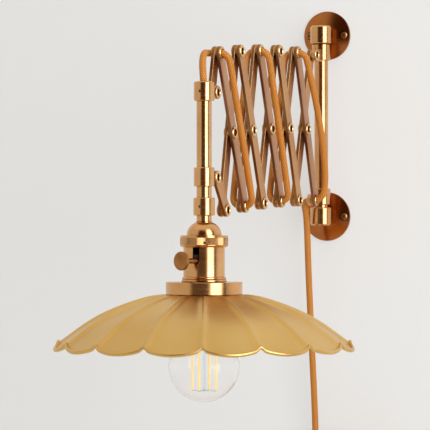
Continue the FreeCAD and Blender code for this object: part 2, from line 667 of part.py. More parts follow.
thread_tall = core_floor - 1.2
thread_shell = turned("thread_body", [
    (v.thread_shell_radius - v.thread_shell_wall, 0), (v.thread_shell_radius, 0),
    (v.thread_shell_radius, thread_tall),
    (v.thread_shell_radius - v.thread_shell_wall, thread_tall)])
thread_shell.Placement = at(0, stem_y, skirt_low + 1.0)
contact = turned("contact_body", [(0, 0), (v.contact_radius * 0.6, 0),
                                  (v.contact_radius, v.contact_height - 0.8),
                                  (v.contact_radius, v.contact_height), (0, v.contact_height)])
contact_low = skirt_low + float(core_floor - v.contact_height)
contact.Placement = at(0, stem_y, contact_low)
group("socket_contacts", [thread_shell, contact])

knob_start = v.key_length
key_body = turned("key_body", [
    (0, 0), (v.key_radius, 0), (v.key_radius, knob_start), (v.knob_radius - 0.8, knob_start),
    (v.knob_radius, knob_start + 0.8), (v.knob_radius, knob_start + v.knob_thickness - 0.8),
    (v.knob_radius - 0.8, knob_start + v.knob_thickness), (0, knob_start + v.knob_thickness)])
keep(key_body, "switch_key", Placement(key_entry - key_way * float(v.key_seat),
                                       Rotation(Z_AXIS, key_way)))

# ---------------------------------------------------------------- fitter, shade and clamp ring
fitter_low = bead_low - float(v.fitter_height)
hole = v.skirt_radius + v.running_gap
plate = v.fitter_wall
keep(turned("fitter_body", [
    (hole, v.fitter_height), (hole, v.fitter_height - plate),
    (v.fitter_radius - plate, v.fitter_height - plate), (v.fitter_radius - plate, 0),
    (v.fitter_radius, 0), (v.fitter_radius, v.fitter_height - 0.5),
    (v.fitter_radius - 0.5, v.fitter_height)]), "fitter_ring", at(0, stem_y, fitter_low))
shade_top = bead_low - float(plate)
clamp_top = shade_top - float(v.shade_wall)
keep(turned("clamp_body", ring_outline(v.clamp_radius, hole, v.clamp_height, v.edge_break)),
     "shade_clamp_ring", at(0, stem_y, clamp_top - float(v.clamp_height)))


def shade_solid():
    """The scalloped shade: one closed skin whose rings of arcs bulge into petals."""
    count = int(float(v.petal_count))
    thick = float(v.shade_wall)
    start = float(v.fitter_radius) + 0.3
    tip, depth = float(v.shade_tip_radius), float(v.shade_depth)
    lift, bead = float(v.cusp_lift), float(v.lip_radius)

    def petal(radius, drop, lobed):
        """A level of the skin: radii and heights of its cusps and of its petals' middles."""
        share = lobed * (radius - start) / (tip - start)
        shrink = share * (tip - float(v.shade_cusp_radius))
        return (radius - shrink, -drop + share * lift, radius, -drop)

    # how far the sloping skin has dropped at each share of its reach
    fall = [(0.26, 0.147), (0.52, 0.351), (0.66, 0.50), (0.83, 0.735), (0.94, 0.905)]
    low = fitter_low
    outer = [(start, 0.6)] + [(start + f * (tip - start), d * depth) for f, d in fall]
    rim_centre = (tip - bead, depth - bead)
    levels = [petal(float(v.neck_hole), low - shade_top, 0), petal(float(v.neck_radius),
                                                                   low - shade_top, 0),
              petal(float(v.neck_radius), 0.2, 0)]
    levels += [petal(radius, drop, 1) for radius, drop in outer]
    for turn in (60, 0, -60, -120, -180):
        angle = math.radians(turn)
        levels.append(petal(rim_centre[0] + bead * math.cos(angle),
                            rim_centre[1] - bead * math.sin(angle), 1))
    for radius, drop in reversed(outer[1:]):
        levels.append(petal(radius - thick * 0.35, drop + thick, 1))
    levels += [petal(float(v.neck_radius) + 0.4 - thick, 0.2 + thick * 1.2, 0),
               petal(float(v.neck_radius) - thick, 0.2, 0),
               petal(float(v.neck_radius) - thick, low - shade_top + thick, 0),
               petal(float(v.neck_hole), low - shade_top + thick, 0)]
    half_step = math.pi / count

    def ring_of_arcs(level):
        cusp_radius, cusp_z, tip_radius, tip_z = level
        arcs = []
        for number in range(count):
            points = []
            for step, radius, z in ((0, cusp_radius, cusp_z), (1, tip_radius, tip_z),
                                    (2, cusp_radius, cusp_z)):
                angle = (2 * number + step) * half_step
                points.append(Vector(radius * math.sin(angle), stem_y - radius * math.cos(angle),
                                     low + z))
            arcs.append(Part.Arc(*points).toShape())
        return arcs

    rings = [ring_of_arcs(level) for level in levels]
    faces = []
    for index, ring in enumerate(rings):
        following = rings[(index + 1) % len(rings)]
        for one, other in zip(ring, following):
            faces.append(Part.makeRuledSurface(one, other))
    skin = Part.Shell(Part.makeShell(faces).Faces)
    skin.sewShape()
    solid = Part.Solid(skin)
    if solid.Volume < 0:
        solid.reverse()
    return solid


shade = doc.addObject("Part::Feature", "shade_skin")
shade.Shape = shade_solid()
keep(shade, "shade")

# ---------------------------------------------------------------- bulb
globe_z = fitter_low - float(v.globe_drop)
base_low = contact_low - float(v.slide_gap + v.base_length)
glass_top = base_low + float(v.glass_in_base) - (globe_z - float(v.globe_radius))


def globe_outline(globe, neck, top, lift):
    """Half the bulb's glass from its lowest point, as a ball running into a neck."""
    reach = float(globe)
    join = 0.66 * reach
    join_z = reach + math.sqrt(reach ** 2 - join ** 2) + lift
    return [(0, lift, globe), (join, join_z, -30.0), (neck, join_z + 0.42 * reach),
            (float(v.base_radius) - 1.4, top - 14.0), (float(v.base_radius) - 1.4, top)]


outside = globe_outline(float(v.globe_radius), float(v.neck_glass_radius), glass_top, 0.0)
glass_thick = float(v.glass_wall)
inside = globe_outline(float(v.globe_radius) - glass_thick,
                       float(v.neck_glass_radius) - glass_thick, glass_top - 1.5, glass_thick)
inside[-1] = (inside[-1][0] - glass_thick, inside[-1][1])
inside[-2] = (inside[-2][0] - glass_thick, inside[-2][1])
glass_outer = turned("glass_outer", outside + [(0, glass_top)])
glass_inner = turned("glass_inner", inside + [(0, glass_top - 1.5)])
glass = cut("bulb_glass", glass_outer, [glass_inner])
keep(glass, "bulb_glass", at(0, stem_y, globe_z - float(v.globe_radius)))

# screw base: a thin cap with a rolled thread and a contact on its end
thread = []
turns = 5
for number in range(turns):
    low = 3.0 + number * float(v.base_pitch)
    thread += [(v.base_radius - v.base_thread, low), (v.base_radius, low + v.base_pitch / 2)]
inner_base = float(v.base_radius) - 1.2
base_body = turned("base_body", [(inner_base, 0), (v.base_radius - v.base_thread, 0)] + thread + [
    (v.base_radius - v.base_thread, v.base_length - 3.0), (v.base_radius * 0.6, v.base_length - 1.2),
    (4.2, v.base_length - 1.0), (3.6, v.base_length), (0, v.base_length), (0, v.base_length - 3.4),
    (inner_base, v.base_length - 5.0)])
keep(base_body, "bulb_base", at(0, stem_y, base_low))


def filament_frame():
    """The glass mount, its mast and the wires that hold the filaments."""
    mount_low = base_low + float(v.mount_in_base - v.mount_length)
    bottom = globe_z - float(v.filament_low)
    high = bottom + float(v.filament_length)
    pieces = [cylinder("frame_mount", v.mount_radius, v.mount_length, at(0, stem_y, mount_low)),
              cylinder("frame_mast", v.mast_radius, mount_low + v.mast_in_mount - bottom,
                       at(0, stem_y, bottom))]
    for level, z in (("low", bottom), ("high", high)):
        for number in range(4):
            turn = Rotation(Z_AXIS, 90 * number)
            way = turn.multVec(X_AXIS)
            pieces.append(cylinder(f"frame_wire_{level}{number}", v.wire_radius,
                                   v.filament_circle,
                                   Placement(Vector(0, stem_y, z), Rotation(Z_AXIS, way))))
    return keep(fused("filament_frame_solid", pieces), "filament_frame")


filament_frame()
filaments = []
for number in range(4):
    way = Rotation(Z_AXIS, 90 * number).multVec(X_AXIS) * float(v.filament_circle)
    start = Vector(0, stem_y, globe_z - float(v.filament_low) + float(v.wire_radius)) + way
    filaments.append(cylinder(f"filament{number}", v.filament_radius,
                              v.filament_length - v.wire_radius * 2, Placement(start, Rotation())))
group("led_filaments", filaments)


# ---------------------------------------------------------------- cord
def cord_path(label, route, tight=None):
    """Straight runs joined by tangent arcs through the route's points."""
    edges = []
    radii = []
    here = route[0]
    for index in range(1, len(route) - 1):
        before = route[index] - route[index - 1]
        after = route[index + 1] - route[index]
        turn = before.getAngle(after)
        shorter = min(before.Length, after.Length)
        radius = 0.45 * shorter / math.tan(turn / 2)
        trim = 0.45 * shorter
        radii.append(radius)
        one = route[index] - before.normalize() * trim
        two = route[index] + after.normalize() * trim
        out = (one + two) / 2 - route[index]
        centre_gap = math.hypot(radius, trim)
        middle = route[index] + out.normalize() * (centre_gap - radius)
        edges.append(Part.LineSegment(here, one).toShape())
        edges.append(Part.Arc(one, middle, two).toShape())
        here = two
    edges.append(Part.LineSegment(here, route[-1]).toShape())
    wire = Part.Wire(edges)
    print(f"{label}: length {wire.Length:.1f} mm, smallest radii "
          + " ".join(f"{radius:.1f}" for radius in sorted(radii)[:3]))
    return wire


def cord_tube(label, wire):
    """A round tube along a wire, as a pipe shell, checked against section times length."""
    radius = float(v.cord_radius)
    start = wire.Edges[0]
    along = start.tangentAt(start.FirstParameter)
    section = Part.Wire([Part.Circle(start.valueAt(start.FirstParameter), along, radius).toShape()])
    solid = wire.makePipeShell([section], True, False)
    if solid.Volume < 0:
        solid.reverse()
    ideal = math.pi * radius ** 2 * wire.Length
    print(f"{label}: volume {solid.Volume:.0f}, section times length {ideal:.0f}")
    item = doc.addObject("Part::Feature", label + "_tube")
    item.Shape = solid
    return keep(item, label)


# how a length of cord lies beside its bar: share of the bar's length from the pivot that it
# comes out of, how far it stands off the arm's middle plane and how far it bows off the bar
right_lie = [(0.0, 11.2, 0.0), (0.125, 11.0, -0.9), (0.37, 9.9, -2.6), (0.63, 10.2, -1.9),
             (0.875, 10.9, -0.4), (1.0, 11.2, 0.0)]
left_lie = [(0.0, 11.2, 0.0), (0.125, 10.8, 1.6), (0.37, 10.0, 3.4), (0.63, 9.8, 2.2),
            (0.875, 10.7, 1.2), (1.0, 11.2, 0.0)]


def cord_run(label, start, end, side, lie):
    first, last = spot(start), spot(end)
    along = last - first
    bow = X_AXIS.cross(along).normalize()
    route = [first]
    for share, stand, sway in lie:
        route.append(first + along * share + X_AXIS * (side * stand) + bow * sway)
    route.append(last)
    cord_tube(label, cord_path(label, route))


cord_run("cord_run_1", "T1", "B2", 1, right_lie)
cord_run("cord_run_2", "B2", "T3", -1, left_lie)
cord_run("cord_run_3", "T3", "B4", 1, right_lie)
cord_run("cord_run_4", "B4", "T5", -1, left_lie)
cord_run("cord_run_5", "T5", "B6", 1, right_lie)

# arch from the top of the stem into the first top pivot, points by hand (x, reach, height)
arch_points = [(0.0, 0.0, -7.0), (-0.5, 0.3, 4.0), (-1.2, -2.2, 13.0), (-4.2, -9.4, 21.4),
               (-9.2, -20.4, 29.2)]
arch = [Vector(x, stem_y - reach, stem_top + height) for x, reach, height in arch_points]
arch += [spot("T1", -12.4), spot("T1")]
cord_tube("cord_arch", cord_path("cord_arch", arch))
stem_cord_low = cap_top - 8.0
stem_cord_stop = 8.8  # the arch turns a little as the arm opens, so its foot has room below
stem_cord = doc.addObject("Part::Cylinder", "stem_cord_solid")
bind(stem_cord, "Radius", v.cord_radius)
stem_cord.Height = stem_top - stem_cord_stop - stem_cord_low
keep(stem_cord, "stem_cord", at(0, stem_y, stem_cord_low))

# hanging lead: points by hand (x, reach from the wall, height)
lead_end = Vector(-8.4, -15.2, pivot["B6"].y - float(v.coil_drop))
lead_points = [(-11.5, 36.0, -96.0), (-11.4, 33.0, -118.0),
               (-11.2, 30.2, -158.0), (-10.4, 26.4, -207.0), (-9.8, 21.6, -256.0),
               (-9.0, 17.8, -300.0), (-8.4, 15.2, -343.0)]
lead = [spot("B6"), spot("B6", -11.6)] + [Vector(x, -reach, z) for x, reach, z in lead_points] + [lead_end]
cord_tube("hanging_lead", cord_path("hanging_lead", lead))


# ---------------------------------------------------------------- put-away coil, tie and plug
def coil_points():
    """Points and directions, a quarter turn apart, of a coil that spirals in and out again over
    its layers and steps to the next layer in the half turn where it reverses."""
    inner_radius, step = float(v.coil_inner), float(v.coil_step)
    turns, layers = float(v.coil_turns_per_layer), int(float(v.coil_layers))
    outer_radius = inner_radius + turns * step
    stations = []
    angle = 0.0
    for layer in range(layers):
        inward = layer % 2 == 0
        quarters = int(round(turns * 4))
        for number in range(quarters):
            share = number / quarters
            grown = share * turns * step
            radius = outer_radius - grown if inward else inner_radius + grown
            stations.append((angle, radius, layer * step))
            angle += math.pi / 2
        if layer < layers - 1:
            radius = inner_radius if inward else outer_radius
            stations.append((angle, radius, layer * step))
            angle += math.pi / 2
            stations.append((angle, radius, (layer + 0.5) * step))
            angle += math.pi / 2
    for share in (0.0, 0.25, 0.5):
        stations.append((angle, outer_radius + share * step, (layers - 1) * step))
        angle += math.pi / 2
    return stations


def biarc(one, way_one, two, way_two):
    """Two arcs that leave one along way_one and reach two along way_two."""
    gap = two - one
    total = way_one + way_two
    square = total.dot(total) - 4
    lead_in = gap.dot(total)
    if abs(square) < 1e-9:
        reach = gap.dot(gap) / (4 * gap.dot(way_two))
    else:
        reach = (lead_in - math.sqrt(lead_in ** 2 - square * gap.dot(gap))) / square
        if reach < 0:
            reach = (lead_in + math.sqrt(lead_in ** 2 - square * gap.dot(gap))) / square
    corner_one = one + way_one * reach
    corner_two = two - way_two * reach
    joint = (corner_one + corner_two) / 2
    edges = []
    for start, corner, end in ((one, corner_one, joint), (joint, corner_two, two)):
        before = (corner - start).normalize()
        after = (end - corner).normalize()
        half_turn = before.getAngle(after) / 2
        radius = reach / math.tan(half_turn)
        inward = ((start + end) / 2 - corner).normalize()
        middle = corner + inward * (math.hypot(radius, reach) - radius)
        edges.append(Part.Arc(start, middle, end).toShape())
    return edges


def coil_solid():
    stations = coil_points()
    outer_radius = float(v.coil_inner) + float(v.coil_turns_per_layer) * float(v.coil_step)
    centre = lead_end + Vector(outer_radius, 0, -7.0)
    spots, ways = [], []
    for angle, radius, depth in stations:
        spots.append(centre + Vector(-radius * math.cos(angle), -depth, -radius * math.sin(angle)))
    for index, (angle, radius, depth) in enumerate(stations):
        before = stations[max(index - 1, 0)]
        after = stations[min(index + 1, len(stations) - 1)]
        sweep = after[0] - before[0]
        grow, climb = (after[1] - before[1]) / sweep, (after[2] - before[2]) / sweep
        if index in (0, len(stations) - 1):
            grow, climb = 0.0, 0.0
        way = Vector(-grow * math.cos(angle) + radius * math.sin(angle), -climb,
                     -grow * math.sin(angle) - radius * math.cos(angle))
        ways.append(way.normalize())
    edges = [Part.LineSegment(lead_end, spots[0]).toShape()]
    for index in range(len(spots) - 1):
        edges += biarc(spots[index], ways[index], spots[index + 1], ways[index + 1])
    tail = spots[-1] + ways[-1] * float(v.coil_tail)
    edges.append(Part.LineSegment(spots[-1], tail).toShape())
    wire = Part.Wire(edges)
    samples = wire.discretize(Number=900)
    spacing = wire.Length / 899
    apart = int(40 / spacing)
    least = min(samples[i].distanceToPoint(samples[j])
                for i in range(0, 900, 3) for j in range(i + apart, 900, 3))
    print(f"lead_coil: length {wire.Length:.0f} mm, least gap to itself "
          f"{least - 2 * float(v.cord_radius):.2f} mm")
    return wire, centre, tail, ways[-1]


coil_wire, coil_centre, coil_tail, tail_way = coil_solid()
cord_tube("lead_coil", coil_wire)

# plug at the coil's end: a moulded body with a tapered neck and two flat blades
plug_turn = Rotation(Z_AXIS, tail_way)
plug_back = cylinder("plug_neck", v.cord_radius + 1.6, v.plug_nose,
                     Placement(coil_tail, plug_turn))
plug_box_at = coil_tail + plug_turn.multVec(Vector(-float(v.plug_width) / 2,
                                                   -float(v.plug_depth) / 2,
                                                   float(v.plug_nose) - 1.0))
plug_box = box("plug_box", v.plug_width, v.plug_depth, v.plug_length - v.plug_nose + 1.0,
               Placement(plug_box_at, plug_turn))
blades = []
for side in (-1, 1):
    corner = Vector(side * float(v.blade_spacing) / 2 - float(v.blade_thickness) / 2,
                    -float(v.blade_width) / 2, float(v.plug_length))
    blades.append(box(f"plug_blade{side + 1}", v.blade_thickness, v.blade_width, v.blade_length,
                      Placement(coil_tail + plug_turn.multVec(corner), plug_turn)))
group("mains_plug", [fused("plug_moulding", [plug_back, plug_box])] + blades)

# tie: a strap round the coil's turns on the side away from the lead
tie_inner = v.coil_inner - v.cord_radius - 1.4
tie_turns = v.coil_turns_per_layer * v.coil_step
tie_wide = tie_turns + v.cord_radius * 2 + 2.4
tie_deep = v.coil_step * 3 + v.cord_radius * 2 + 1.2
tie_corner = coil_centre + Vector(float(tie_inner), -float(v.coil_step) * 3
                                  - float(v.cord_radius) - 0.6, -float(v.tie_width) / 2)
grow = v.tie_thickness
tie_outer = box("tie_outer", tie_wide + grow * 2, tie_deep + grow * 2, v.tie_width,
                Placement(tie_corner - Vector(float(grow), float(grow), 0), Rotation()))
tie_hole = box("tie_hole", tie_wide, tie_deep, v.tie_width * 2,
               Placement(tie_corner - Z_AXIS * (float(v.tie_width) / 2), Rotation()))
keep(cut("cord_tie", tie_outer, [tie_hole]), "cord_tie")

# ---------------------------------------------------------------- check and write
doc.recompute()
for item in doc.Objects:
    if "Invalid" in item.State or "Error" in item.State:
        raise RuntimeError(f"{item.Label}: {item.State}")
os.makedirs("parts", exist_ok=True)
for label, item in parts.items():
    shape = item.Shape
    if shape.isNull() or not shape.isValid() or not shape.Solids:
        raise RuntimeError(f"{label} is not a valid solid")
    shape.exportStep(f"parts/{label}.step")
print(f"{len(parts)} sub-parts written, {sum(len(p.Shape.Solids) for p in parts.values())} solids")
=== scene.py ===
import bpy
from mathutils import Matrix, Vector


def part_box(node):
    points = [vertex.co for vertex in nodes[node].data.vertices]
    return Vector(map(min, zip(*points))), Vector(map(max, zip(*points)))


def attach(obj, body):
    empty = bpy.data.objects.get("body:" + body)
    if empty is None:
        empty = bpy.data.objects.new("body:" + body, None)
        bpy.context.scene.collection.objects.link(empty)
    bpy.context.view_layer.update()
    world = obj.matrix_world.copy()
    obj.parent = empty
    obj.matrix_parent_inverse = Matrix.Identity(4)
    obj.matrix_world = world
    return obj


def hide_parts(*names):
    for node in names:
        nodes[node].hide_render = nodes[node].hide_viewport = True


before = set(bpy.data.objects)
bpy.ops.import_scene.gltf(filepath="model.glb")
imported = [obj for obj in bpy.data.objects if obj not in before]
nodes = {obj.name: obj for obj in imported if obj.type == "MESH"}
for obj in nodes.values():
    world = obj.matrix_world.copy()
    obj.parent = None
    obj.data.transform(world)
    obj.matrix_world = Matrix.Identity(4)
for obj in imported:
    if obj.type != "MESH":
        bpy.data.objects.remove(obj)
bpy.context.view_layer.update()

import bpy
import bmesh
import math
from mathutils import Vector

sceneNow = bpy.context.scene
sceneNow.view_settings.view_transform = "Standard"

# camera: level with the shade, 23 degrees to the right of the arm, with a long lens
cameraShot = {
    "position": (1.10554, -2.92280, -0.11229),
    "pitch": 90.258,
    "yaw": 23.006,
    "lens": 236.2,
}


def addCamera(shot):
    data = bpy.data.cameras.new("photoCamera")
    data.lens = shot["lens"]
    data.sensor_width = 36.0
    data.clip_start, data.clip_end = 0.1, 60.0
    camera = bpy.data.objects.new("photoCamera", data)
    camera.location = shot["position"]
    camera.rotation_euler = (math.radians(shot["pitch"]), 0.0, math.radians(shot["yaw"]))
    sceneNow.collection.objects.link(camera)
    sceneNow.camera = camera


addCamera(cameraShot)
print("camera set")

# the stem's axis and the height of the wall plates' centres, in metres
stemAxis = (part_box("stem_tube")[0][1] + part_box("stem_tube")[1][1]) / 2
plateHeight = (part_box("top_wall_plate")[0][2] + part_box("top_wall_plate")[1][2]) / 2


def linearOf(hexColour, alpha=1.0):
    channels = []
    for start in (1, 3, 5):
        share = int(hexColour[start:start + 2], 16) / 255
        channels.append(share / 12.92 if share <= 0.04045 else ((share + 0.055) / 1.055) ** 2.4)
    return (*channels, alpha)


def addNode(tree, kind, settings=None, inputs=None, links=None, stops=None):
    node = tree.nodes.new(kind)
    for name, value in (settings or {}).items():
        setattr(node, name, value)
    for name, value in (inputs or {}).items():
        node.inputs[name].default_value = value
    for name, source in (links or {}).items():
        tree.links.new(source, node.inputs[name])
    if stops:
        elements = node.color_ramp.elements
        while len(elements) < len(stops):
            elements.new(0.5)
        for element, (place, colour) in zip(elements, stops):
            element.position = place
            element.color = linearOf(colour)
    return node


def startMaterial(name, sockets):
    material = bpy.data.materials.new(name)
    material.use_nodes = True
    tree = material.node_tree
    shader = tree.nodes["Principled BSDF"]
    for socket, value in sockets.items():
        shader.inputs[socket].default_value = value
    return material, tree, shader


# how much the brush marks add to the drift of a metal's colour, and how deep they lie in metres
brushShare, brushDepth = 0.35, 0.0001
# where a plated colour runs from the painted shade and tarnish through dark to light
shadeTarnishAt, darkAt, lightAt = 0.12, 0.42, 0.9


def platedMetal(name, look):
    material, tree, shader = startMaterial(name, {"Metallic": 1.0, "Roughness": look["roughness"]})
    place = addNode(tree, "ShaderNodeTexCoord")
    if look["brush"] == "rings":
        # brush marks run in rings round each wall plate's centre
        apart = addNode(tree, "ShaderNodeSeparateXYZ", links={"Vector": place.outputs["Object"]})
        rise = addNode(tree, "ShaderNodeMath", {"operation": "ABSOLUTE"},
                       links={0: apart.outputs["Z"]})
        offset = addNode(tree, "ShaderNodeMath", {"operation": "SUBTRACT"}, {1: plateHeight},
                         {0: rise.outputs["Value"]})
        across = addNode(tree, "ShaderNodeCombineXYZ",
                         links={"X": apart.outputs["X"], "Y": offset.outputs["Value"]})
        reach = addNode(tree, "ShaderNodeVectorMath", {"operation": "LENGTH"},
                        links={0: across.outputs["Vector"]})
        brushed = addNode(tree, "ShaderNodeCombineXYZ", links={"X": reach.outputs["Value"]})
        stretch = addNode(tree, "ShaderNodeMapping", inputs={"Scale": (1000.0, 1.0, 1.0)},
                          links={"Vector": brushed.outputs["Vector"]})
    else:
        stretch = addNode(tree, "ShaderNodeMapping", inputs={"Scale": look["brush"]},
                          links={"Vector": place.outputs["Object"]})
    brush = addNode(tree, "ShaderNodeTexNoise", inputs={"Scale": 1.0, "Detail": 3.0},
                    links={"Vector": stretch.outputs["Vector"]})
    drift = addNode(tree, "ShaderNodeTexNoise", inputs={"Scale": look["drift"], "Detail": 2.0},
                    links={"Vector": place.outputs["Object"]})
    shade = addNode(tree, "ShaderNodeMath", {"operation": "MULTIPLY_ADD"}, {1: brushShare},
                    {0: brush.outputs["Fac"], 2: drift.outputs["Fac"]})
    # ambient occlusion darkens bores, joints and faces close under other parts towards the darkest
    # stop: painted shade, with some tarnish
    occlusionShade = addNode(tree, "ShaderNodeAmbientOcclusion", inputs={"Distance": look["shadeReach"]})
    toneAndShade = addNode(tree, "ShaderNodeMath", {"operation": "MULTIPLY"},
                   links={0: shade.outputs["Value"], 1: occlusionShade.outputs["AO"]})
    if "rim" in look:
        # faces that don't look sideways are darkened: painted shade on the rims and in the bores
        sideways = addNode(tree, "ShaderNodeSeparateXYZ", links={"Vector": place.outputs["Normal"]})
        facing = addNode(tree, "ShaderNodeMath", {"operation": "ABSOLUTE"},
                         links={0: sideways.outputs["X"]})
        rimShadeMask = addNode(tree, "ShaderNodeMapRange",
                           inputs={"From Min": 0.2, "From Max": 0.8, "To Min": look["rim"]},
                           links={"Value": facing.outputs["Value"]})
        toneAndShade = addNode(tree, "ShaderNodeMath", {"operation": "MULTIPLY"},
                       links={0: toneAndShade.outputs["Value"], 1: rimShadeMask.outputs["Result"]})
    colour = addNode(tree, "ShaderNodeValToRGB", links={"Fac": toneAndShade.outputs["Value"]},
                     stops=[(shadeTarnishAt, look["shadeTarnish"]), (darkAt, look["dark"]),
                            (lightAt, look["light"])])
    tree.links.new(colour.outputs["Color"], shader.inputs["Base Color"])
    rough = addNode(tree, "ShaderNodeMapRange",
                    inputs={"To Min": look["roughness"] - look["spread"],
                            "To Max": look["roughness"] + look["spread"]},
                    links={"Value": brush.outputs["Fac"]})
    tree.links.new(rough.outputs["Result"], shader.inputs["Roughness"])
    bump = addNode(tree, "ShaderNodeBump",
                   inputs={"Strength": look["bump"], "Distance": brushDepth},
                   links={"Height": brush.outputs["Fac"]})
    if "knurl" in look:
        # ridges pressed across the ring's middle, one every three degrees
        centred = addNode(tree, "ShaderNodeMapping", inputs={"Location": (0.0, -stemAxis, 0.0)},
                          links={"Vector": place.outputs["Object"]})
        compass = addNode(tree, "ShaderNodeTexGradient", {"gradient_type": "RADIAL"},
                          links={"Vector": centred.outputs["Vector"]})
        level = addNode(tree, "ShaderNodeSeparateXYZ", links={"Vector": place.outputs["Object"]})
        middle = addNode(tree, "ShaderNodeMath", {"operation": "COMPARE"},
                         {1: look["knurl"]["height"], 2: look["knurl"]["half"]},
                         {0: level.outputs["Z"]})
        ridges = addNode(tree, "ShaderNodeMath", {"operation": "MULTIPLY"},
                         {1: look["knurl"]["count"]}, {0: compass.outputs["Fac"]})
        teeth = addNode(tree, "ShaderNodeMath", {"operation": "PINGPONG"}, {1: 0.5},
                        {0: ridges.outputs["Value"]})
        pressed = addNode(tree, "ShaderNodeMath", {"operation": "MULTIPLY"},
                          links={0: teeth.outputs["Value"], 1: middle.outputs["Value"]})
        knurl = addNode(tree, "ShaderNodeBump", inputs={"Strength": 1.0, "Distance": 0.0006},
                        links={"Height": pressed.outputs["Value"],
                               "Normal": bump.outputs["Normal"]})
        bump = knurl
    tree.links.new(bump.outputs["Normal"], shader.inputs["Normal"])
    return material


# turned brass under copper-gold plate, satin polished on the lathe: crisp upright bands of
# light and dark, faintly drawn out by marks round the axis, shown every millimetre
satinCopper = platedMetal("satinCopperPlate", {
    "dark": "#D0965E", "light": "#E4B078", "roughness": 0.2, "spread": 0.05,
    "brush": (40.0, 40.0, 1000.0), "drift": 30.0, "shadeTarnish": "#7A4218", "shadeReach": 0.002,
    "bump": 0.05})
# the same plate on the knurled ring: fine pressed ridges between two smooth rims
ringLow, ringHigh = (corner[2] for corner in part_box("knurled_ring"))
knurledCopper = platedMetal("knurledCopperPlate", {
    "dark": "#D0955C", "light": "#E2AC70", "roughness": 0.2, "spread": 0.04,
    "brush": (40.0, 40.0, 1000.0), "drift": 30.0, "shadeTarnish": "#7A4218", "shadeReach": 0.002,
    "bump": 0.05,
    "knurl": {"height": (ringLow + ringHigh) / 2, "half": 0.0036, "count": 120.0}})
# flat strip, plated and tumbled: dull tan with a soft sheen and a fine even grain
tumbledBar = platedMetal("tumbledBronzeStrip", {
    "dark": "#C8925E", "light": "#D8A672", "roughness": 0.36, "spread": 0.05,
    "brush": (900.0, 900.0, 300.0), "drift": 22.0, "shadeTarnish": "#6E4420", "shadeReach": 0.004,
    "rim": 0.35, "bump": 0.1})
# the strips that the cord runs beside get a pinker, darker copy of the strip colour: painted shade
shadedPinkBar = platedMetal("shadedRoseStrip", {
    "dark": "#BC8660", "light": "#D0A07A", "roughness": 0.36, "spread": 0.05,
    "brush": (900.0, 900.0, 300.0), "drift": 22.0, "shadeTarnish": "#6E4420", "shadeReach": 0.004,
    "rim": 0.35, "bump": 0.1})
# rolled tube eyelets: bright lips, with painted shade on their rims and in their bores
rolledEyelet = platedMetal("rolledBrassEyelet", {
    "dark": "#D8A264", "light": "#F2CE98", "roughness": 0.26, "spread": 0.05,
    "brush": (900.0, 900.0, 900.0), "drift": 60.0, "shadeTarnish": "#4A2A10", "shadeReach": 0.004,
    "rim": 0.6, "bump": 0.08})
# wall plates spun from sheet: darker red copper with rings left by the spinning tool
spunCopper = platedMetal("spunCopperSheet", {
    "dark": "#A8602E", "light": "#C67C42", "roughness": 0.22, "spread": 0.06,
    "brush": "rings", "drift": 40.0, "shadeTarnish": "#5E2E10", "shadeReach": 0.004,
    "bump": 0.12})
# copper-plated steel screws, darkened in their recesses as painted shade
platedScrew = platedMetal("copperPlatedSteel", {
    "dark": "#8F5F38", "light": "#B98654", "roughness": 0.3, "spread": 0.06,
    "brush": (900.0, 900.0, 900.0), "drift": 60.0, "shadeTarnish": "#2A1A0C", "shadeReach": 0.002,
    "bump": 0.1})
# the switch's knob: turned and left matt, browner than the plate round it
turnedKnob = platedMetal("turnedKnobBrass", {
    "dark": "#A06A38", "light": "#BC8450", "roughness": 0.36, "spread": 0.08,
    "brush": (700.0, 700.0, 700.0), "drift": 90.0, "shadeTarnish": "#5E3A1C", "shadeReach": 0.002,
    "bump": 0.35})
# spun aluminium under satin gold lacquer: an even pale gold glow with no sharp reflections,
# darkened near the fitter as painted shade
goldLacquer = platedMetal("satinGoldLacquer", {
    "dark": "#DFB264", "light": "#E9C27A", "roughness": 0.36, "spread": 0.02,
    "brush": (900.0, 900.0, 900.0), "drift": 14.0, "shadeTarnish": "#8A5618", "shadeReach": 0.03,
    "bump": 0.02})
# rolled aluminium with nickel on it: cold grey rings
nickelBase = platedMetal("nickelledAluminium", {
    "dark": "#BDB8AE", "light": "#D6D2C8", "roughness": 0.26, "spread": 0.05,
    "brush": (60.0, 60.0, 900.0), "drift": 60.0, "shadeTarnish": "#8A857C", "shadeReach": 0.002,
    "bump": 0.08})
# bare pressed brass: yellow, a little dull
bareBrass = platedMetal("pressedBrass", {
    "dark": "#B8903F", "light": "#D0AA5A", "roughness": 0.3, "spread": 0.05,
    "brush": (500.0, 500.0, 500.0), "drift": 60.0, "shadeTarnish": "#6E5220", "shadeReach": 0.003,
    "bump": 0.08})


def plainSolid(name, look):
    material, tree, shader = startMaterial(name, {"Roughness": look["roughness"],
                                                  "IOR": look["ior"]})
    place = addNode(tree, "ShaderNodeTexCoord")
    grain = addNode(tree, "ShaderNodeTexNoise", inputs={"Scale": look["grain"], "Detail": 3.0},
                    links={"Vector": place.outputs["Object"]})
    colour = addNode(tree, "ShaderNodeValToRGB", links={"Fac": grain.outputs["Fac"]},
                     stops=[(0.3, look["dark"]), (0.7, look["light"])])
    tree.links.new(colour.outputs["Color"], shader.inputs["Base Color"])
    bump = addNode(tree, "ShaderNodeBump",
                   inputs={"Strength": look["bump"], "Distance": 0.0002},
                   links={"Height": grain.outputs["Fac"]})
    tree.links.new(bump.outputs["Normal"], shader.inputs["Normal"])
    return material


# moulded phenolic resin: near black with a low gloss
mouldedPhenolic = plainSolid("mouldedPhenolic", {
    "dark": "#1C1714", "light": "#2A231E", "ior": 1.6, "roughness": 0.3, "grain": 400.0,
    "bump": 0.05})
